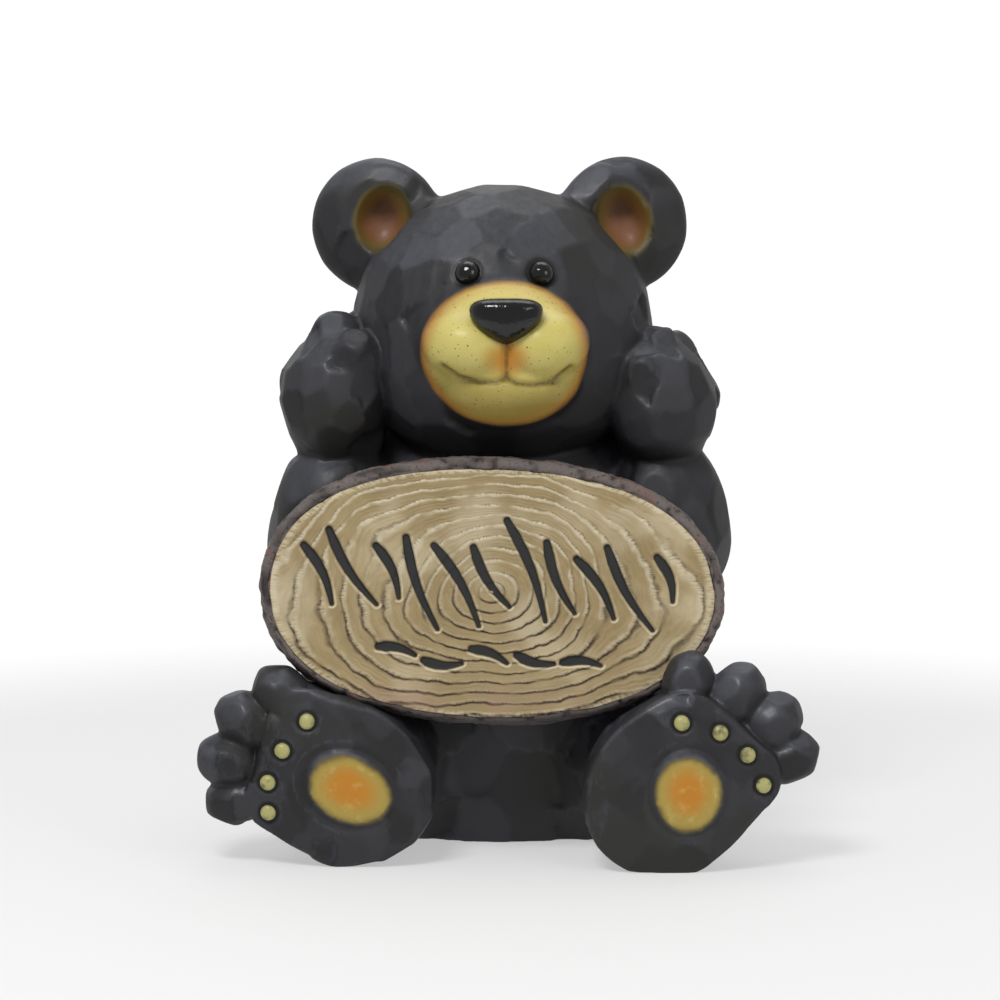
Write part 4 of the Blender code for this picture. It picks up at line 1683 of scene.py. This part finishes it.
    def _ring(self, reach: np.ndarray, turn: np.ndarray, x: np.ndarray, y: np.ndarray) -> np.ndarray:
        """Numbers the growth rings outwards, as a number that wavers round the slab.

        Args:
            reach: The share of the way from the pith to the bark.
            turn: The angle.
            x: Across the slab.
            y: Up the slab.

        Returns:
            The ring's number and the share of the way through it.
        """
        rounder = 1 + self.pith_roundness * np.cos(turn) ** 2 * (1 - reach)
        (across, high), (wide, tall) = self.knot_at, self.knot_size
        knot = np.exp(-(((x - across) / wide) ** 2 + ((y - high) / tall) ** 2)) * self.knot_rings
        wander = self._clouds(x, y, 14, 1.5) * 1.1 + self._clouds(x, y, 42, 4.5) * 0.34
        ragged = self._clouds(x, y, 150, 7.5) * 0.12 + self._clouds(x, y, 420, 2.5) * 0.05
        return reach * self.rings * rounder + knot + (wander + ragged) * np.clip(reach * 3, 0.2, 1) + 0.9

    def _ring_relief(self, ring: np.ndarray, x: np.ndarray, y: np.ndarray, reach: np.ndarray) -> np.ndarray:
        """Carves the rings: each rises outwards to a crest and drops to the next.

        Args:
            ring: The rings' numbers.
            x: Across the slab.
            y: Up the slab.
            reach: The share of the way from the pith to the bark.

        Returns:
            The height, from minus the ring's depth to nothing.
        """
        share = ring % 1.0
        rise = (share / self.ring_crest) ** self.ring_power
        fall = (1 - share) / (1 - self.ring_crest)
        strength = np.clip(0.8 + 1.1 * self._clouds(x, y, 55, 9.5), 0.25, 1.25)
        edge = np.clip((1 - reach) / 0.03, 0, 1)
        growth = self.ring_growth * np.sin(ring * 2 * math.pi * 4 + 3 * self._clouds(x, y, 60, 3.5))
        relief = (np.minimum(rise, fall) - 1) * self.ring_depth * strength
        return relief + growth - (1 - edge) * self.rim_drop

    def _strokes(self) -> list[tuple[float, float, float, float, float]]:
        """Lists the strokes in two rows.

        Returns:
            Each one's middle across and up, length, lean and bow, as shares of the width.
        """
        strokes = []
        for index in range(self.long_strokes):
            share = (index + 0.5) / self.long_strokes - 0.5
            length = 0.14 + 0.05 * math.sin(index * 2.3) + 0.06 * math.cos(share * math.pi)
            lean = math.radians(27 + 7 * math.sin(index * 1.7))
            bow = (-1) ** index * 0.012
            strokes.append((share * 0.86, 0.03 + 0.02 * math.sin(index * 1.3), length, lean, bow))
        for index in range(self.short_strokes):
            share = (index + 0.5) / self.short_strokes - 0.5
            lean = math.radians(78 + 10 * math.sin(index * 2.1))
            bow = (-1) ** index * 0.008
            strokes.append((share * 0.52, -0.15 + 0.012 * math.cos(index * 2.6), 0.085, lean, bow))
        return strokes

    def _stroke_distance(self, x: np.ndarray, y: np.ndarray) -> np.ndarray:
        """Measures how far each point lies from the nearest stroke's line.

        Args:
            x: Across the slab.
            y: Up the slab.

        Returns:
            The distance in metres, less where a stroke is broad.
        """
        nearest = np.full(x.shape, 1.0)
        for stroke in self._strokes():
            line = self._stroke_line(*stroke)
            for start, end in zip(line, line[1:]):
                run, climb = end[0] - start[0], end[1] - start[1]
                right, high = x - start[0], y - start[1]
                way = np.clip((right * run + high * climb) / (run * run + climb * climb), 0, 1)
                gap = np.hypot(right - way * run, high - way * climb)
                nearest = np.minimum(nearest, gap + start[2] + way * (end[2] - start[2]))
        return nearest

    def _stroke_line(self, across: float, up: float, length: float, lean: float, bow: float) -> list[Triple]:
        """Draws one stroke's line. Lengths are shares of the width.

        Args:
            across: The stroke's middle, across the slab.
            up: Its middle, up the slab.
            length: Its length.
            lean: Its lean from upright, in radians.
            bow: How far its middle stands aside.

        Returns:
            Points across and up in metres, each with how much slimmer the stroke is there.
        """
        line = []
        for step in range(self.stroke_steps + 1):
            share = step / self.stroke_steps
            along, aside = (share - 0.5) * length, bow * math.sin(math.pi * share)
            right = across + along * math.sin(lean) + aside * math.cos(lean)
            high = up - along * math.cos(lean) + aside * math.sin(lean)
            slim = self.stroke_taper * share**1.5 + 0.35 * math.exp(-share * 9) - 0.1
            line.append((right * self.width, high * self.width, slim * self.stroke_width / 2))
        return line

    def _inside(self, stroke: np.ndarray) -> np.ndarray:
        """Tells how far each point lies down in a stroke.

        Args:
            stroke: The distance from the strokes' lines.

        Returns:
            Nothing on the face and 1 on a stroke's flat bottom.
        """
        inside = np.clip((self.stroke_width / 2 + 0.0002 - stroke) / self.stroke_edge, 0, 1)
        return inside * inside * (3 - 2 * inside)

    def _mesh(self, points: np.ndarray, middles: Sequence[Triple]) -> bpy.types.Mesh:
        """Builds the closed slab.

        Args:
            points: The grid's points, in rows from the pith to the back's edge.
            middles: The middle of the face and that of the back.

        Returns:
            The mesh, with bark on its second material.
        """
        rows, columns, _ = points.shape
        grid = np.arange(rows * columns).reshape(rows, columns)
        inner, outer = grid[:-1].ravel(), grid[1:].ravel()
        inner_next, outer_next = np.roll(grid, -1, 1)[:-1].ravel(), np.roll(grid, -1, 1)[1:].ravel()
        quads = np.stack([inner, outer, outer_next, inner_next], axis=1).tolist()
        middle_of_face, middle_of_back = rows * columns, rows * columns + 1
        first, last = grid[0], grid[-1]
        fan = [[middle_of_face, int(a), int(b)] for a, b in zip(first, np.roll(first, -1))]
        fan_back = [[middle_of_back, int(b), int(a)] for a, b in zip(last, np.roll(last, -1))]
        mesh = bpy.data.meshes.new("log_slice")
        places = np.concatenate([points.reshape(-1, 3), middles]).tolist()
        mesh.from_pydata(places, [], quads + fan + fan_back)
        bark = np.zeros(len(mesh.polygons), np.int32)
        bark[(self.rows - 1) * columns : len(quads)] = 1
        bark[len(quads) + len(fan) :] = 1
        mesh.polygons.foreach_set("material_index", bark)
        mesh.update()
        return mesh

    @staticmethod
    def _store(mesh: bpy.types.Mesh, grain: Grain, values: np.ndarray) -> None:
        """Keeps a number on each point of the mesh."""
        kept = mesh.attributes.new(grain.value, "FLOAT", "POINT")
        kept.data.foreach_set("value", values.astype(np.float32))

    @staticmethod
    def _store_disc(mesh: bpy.types.Mesh, disc: np.ndarray) -> None:
        """Gives the mesh a UV map in which the slab is a disc of radius one round nothing.

        Args:
            mesh: The mesh.
            disc: Each point's place on the disc.
        """
        corners = np.zeros(len(mesh.loops), np.int32)
        mesh.loops.foreach_get("vertex_index", corners)
        layer = mesh.uv_layers.new(name="disc")
        layer.data.foreach_set("uv", disc[corners].astype(np.float32).ravel())


@dataclass(frozen=True)
class FloorFinish:
    """The plain pale floor, which fades out from its full reach to its faded reach."""

    white: Colour = shade(236, 236, 236)
    pale: Colour = shade(172, 172, 172)
    glow: float = 0.52
    full_reach: float = 0.50
    faded_reach: float = 0.95
    roughness: float = 0.9

    def material(self) -> bpy.types.Material:
        """Mixes the paint, which fades out away from the bear.

        Returns:
            The material.
        """
        paint = Paint("pale_floor", Base_Color=self.pale, Roughness=self.roughness)
        paint.shader.inputs["Emission Color"].default_value = self.white
        paint.shader.inputs["Emission Strength"].default_value = self.glow
        reach = (paint.place * (1.0, 1.0, 0.0)).length()
        paint.feed("Alpha", reach.step(self.faded_reach, self.full_reach))
        return paint.material


@dataclass(frozen=True)
class Lamp:
    """A soft light: where it stands, its width and height and its power."""

    name: str
    at: Triple
    size: Pair
    power: float

    def build(self, target: Vector) -> None:
        """Sets the light up.

        Args:
            target: Where it points.
        """
        light = bpy.data.lights.new(self.name, "AREA")
        light.shape = "RECTANGLE"
        light.size, light.size_y = self.size
        light.energy = self.power
        lamp = bpy.data.objects.new(self.name, light)
        lamp.location = self.at
        lamp.rotation_euler = (target - Vector(self.at)).to_track_quat("-Z", "Y").to_euler()
        bpy.context.scene.collection.objects.link(lamp)


@dataclass
class Studio:
    """The camera, the pale floor and soft light."""

    finish: FloorFinish
    camera_at: Triple = (-0.0045, -2.28597, 0.45988)
    camera_pitch: float = math.radians(84.0)
    lens: float = 121.9
    sensor: float = 36.0
    target: Triple = (0.0, 0.0, 0.22)
    front_sky: float = 0.42
    side_sky: float = 0.55
    back_sky: float = 1.02
    lamps: tuple[Lamp, ...] = (
        Lamp("key", (-0.55, -1.3, 1.75), (0.7, 0.5), 23.0),
        Lamp("fill", (1.4, -1.5, 0.8), (0.8, 1.0), 7.0),
        Lamp("top", (0.1, 0.5, 1.7), (1.2, 0.8), 5.0),
    )

    def build(self) -> None:
        """Sets up the stage."""
        bpy.context.scene.camera = self._camera()
        bpy.context.scene.world = self._sky()
        bpy.context.scene.view_settings.view_transform = "Standard"
        for lamp in self.lamps:
            lamp.build(Vector(self.target))
        shape = bmesh.new()
        bmesh.ops.create_grid(shape, x_segments=1, y_segments=1, size=self.finish.faded_reach)
        floor = new_piece("floor", mesh_of("floor", shape))
        floor.data.materials.append(self.finish.material())

    def _camera(self) -> bpy.types.Object:
        """Sets up the camera, at the photograph's viewing angle.

        Returns:
            The camera.
        """
        camera = bpy.data.cameras.new("camera")
        camera.lens = self.lens
        camera.sensor_width = self.sensor
        viewer = bpy.data.objects.new("camera", camera)
        viewer.location = self.camera_at
        viewer.rotation_euler = (self.camera_pitch, 0, 0)
        bpy.context.scene.collection.objects.link(viewer)
        return viewer

    def _sky(self) -> bpy.types.World:
        """Lights the bear from all round, and makes what is behind it white.

        Returns:
            The world.
        """
        world = bpy.data.worlds.new("sky")
        world.use_nodes = True
        tree = Tree(world.node_tree)
        ahead = tree.arrow("ShaderNodeTexCoord", [], "Generated").axis(1)
        strength = ahead.step(-0.3, 0.3) * (self.side_sky - self.front_sky) + self.front_sky
        strength = strength + ahead.step(0.6, 0.93) * (self.back_sky - self.side_sky)
        sky = tree.tree.nodes["Background"]
        tree.tree.links.new(strength.socket, sky.inputs["Strength"])
        sky.inputs["Color"].default_value = (1.0, 1.0, 1.0, 1.0)
        return world


def dressed(piece: bpy.types.Object, node: str) -> None:
    """Makes a finished piece ride with the bear in place of a solid.

    Args:
        piece: The piece.
        node: The solid that it stands for.
    """
    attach(piece, BODY)
    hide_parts(node)
    LOG.info("%s: %d faces", piece.name, len(piece.data.polygons))


def main() -> None:
    """Builds the stage, the bear and the sign, in that order."""
    logging.basicConfig(level=logging.INFO, format="%(name)s: %(message)s")
    anatomy = Anatomy()
    Studio(FloorFinish()).build()
    coat = Coat(anatomy, CoatFinish()).build()
    dressed(coat, "bear")
    for piece in Face(anatomy, GlossFinish()).build():
        dressed(piece, "bear")
    dressed(ToeBeads(anatomy, BeadFinish()).build(coat), "bear")
    dressed(LogSlice(WoodFinish(), BarkFinish()).build(), "sign")


if __name__ == "__main__":
    main()
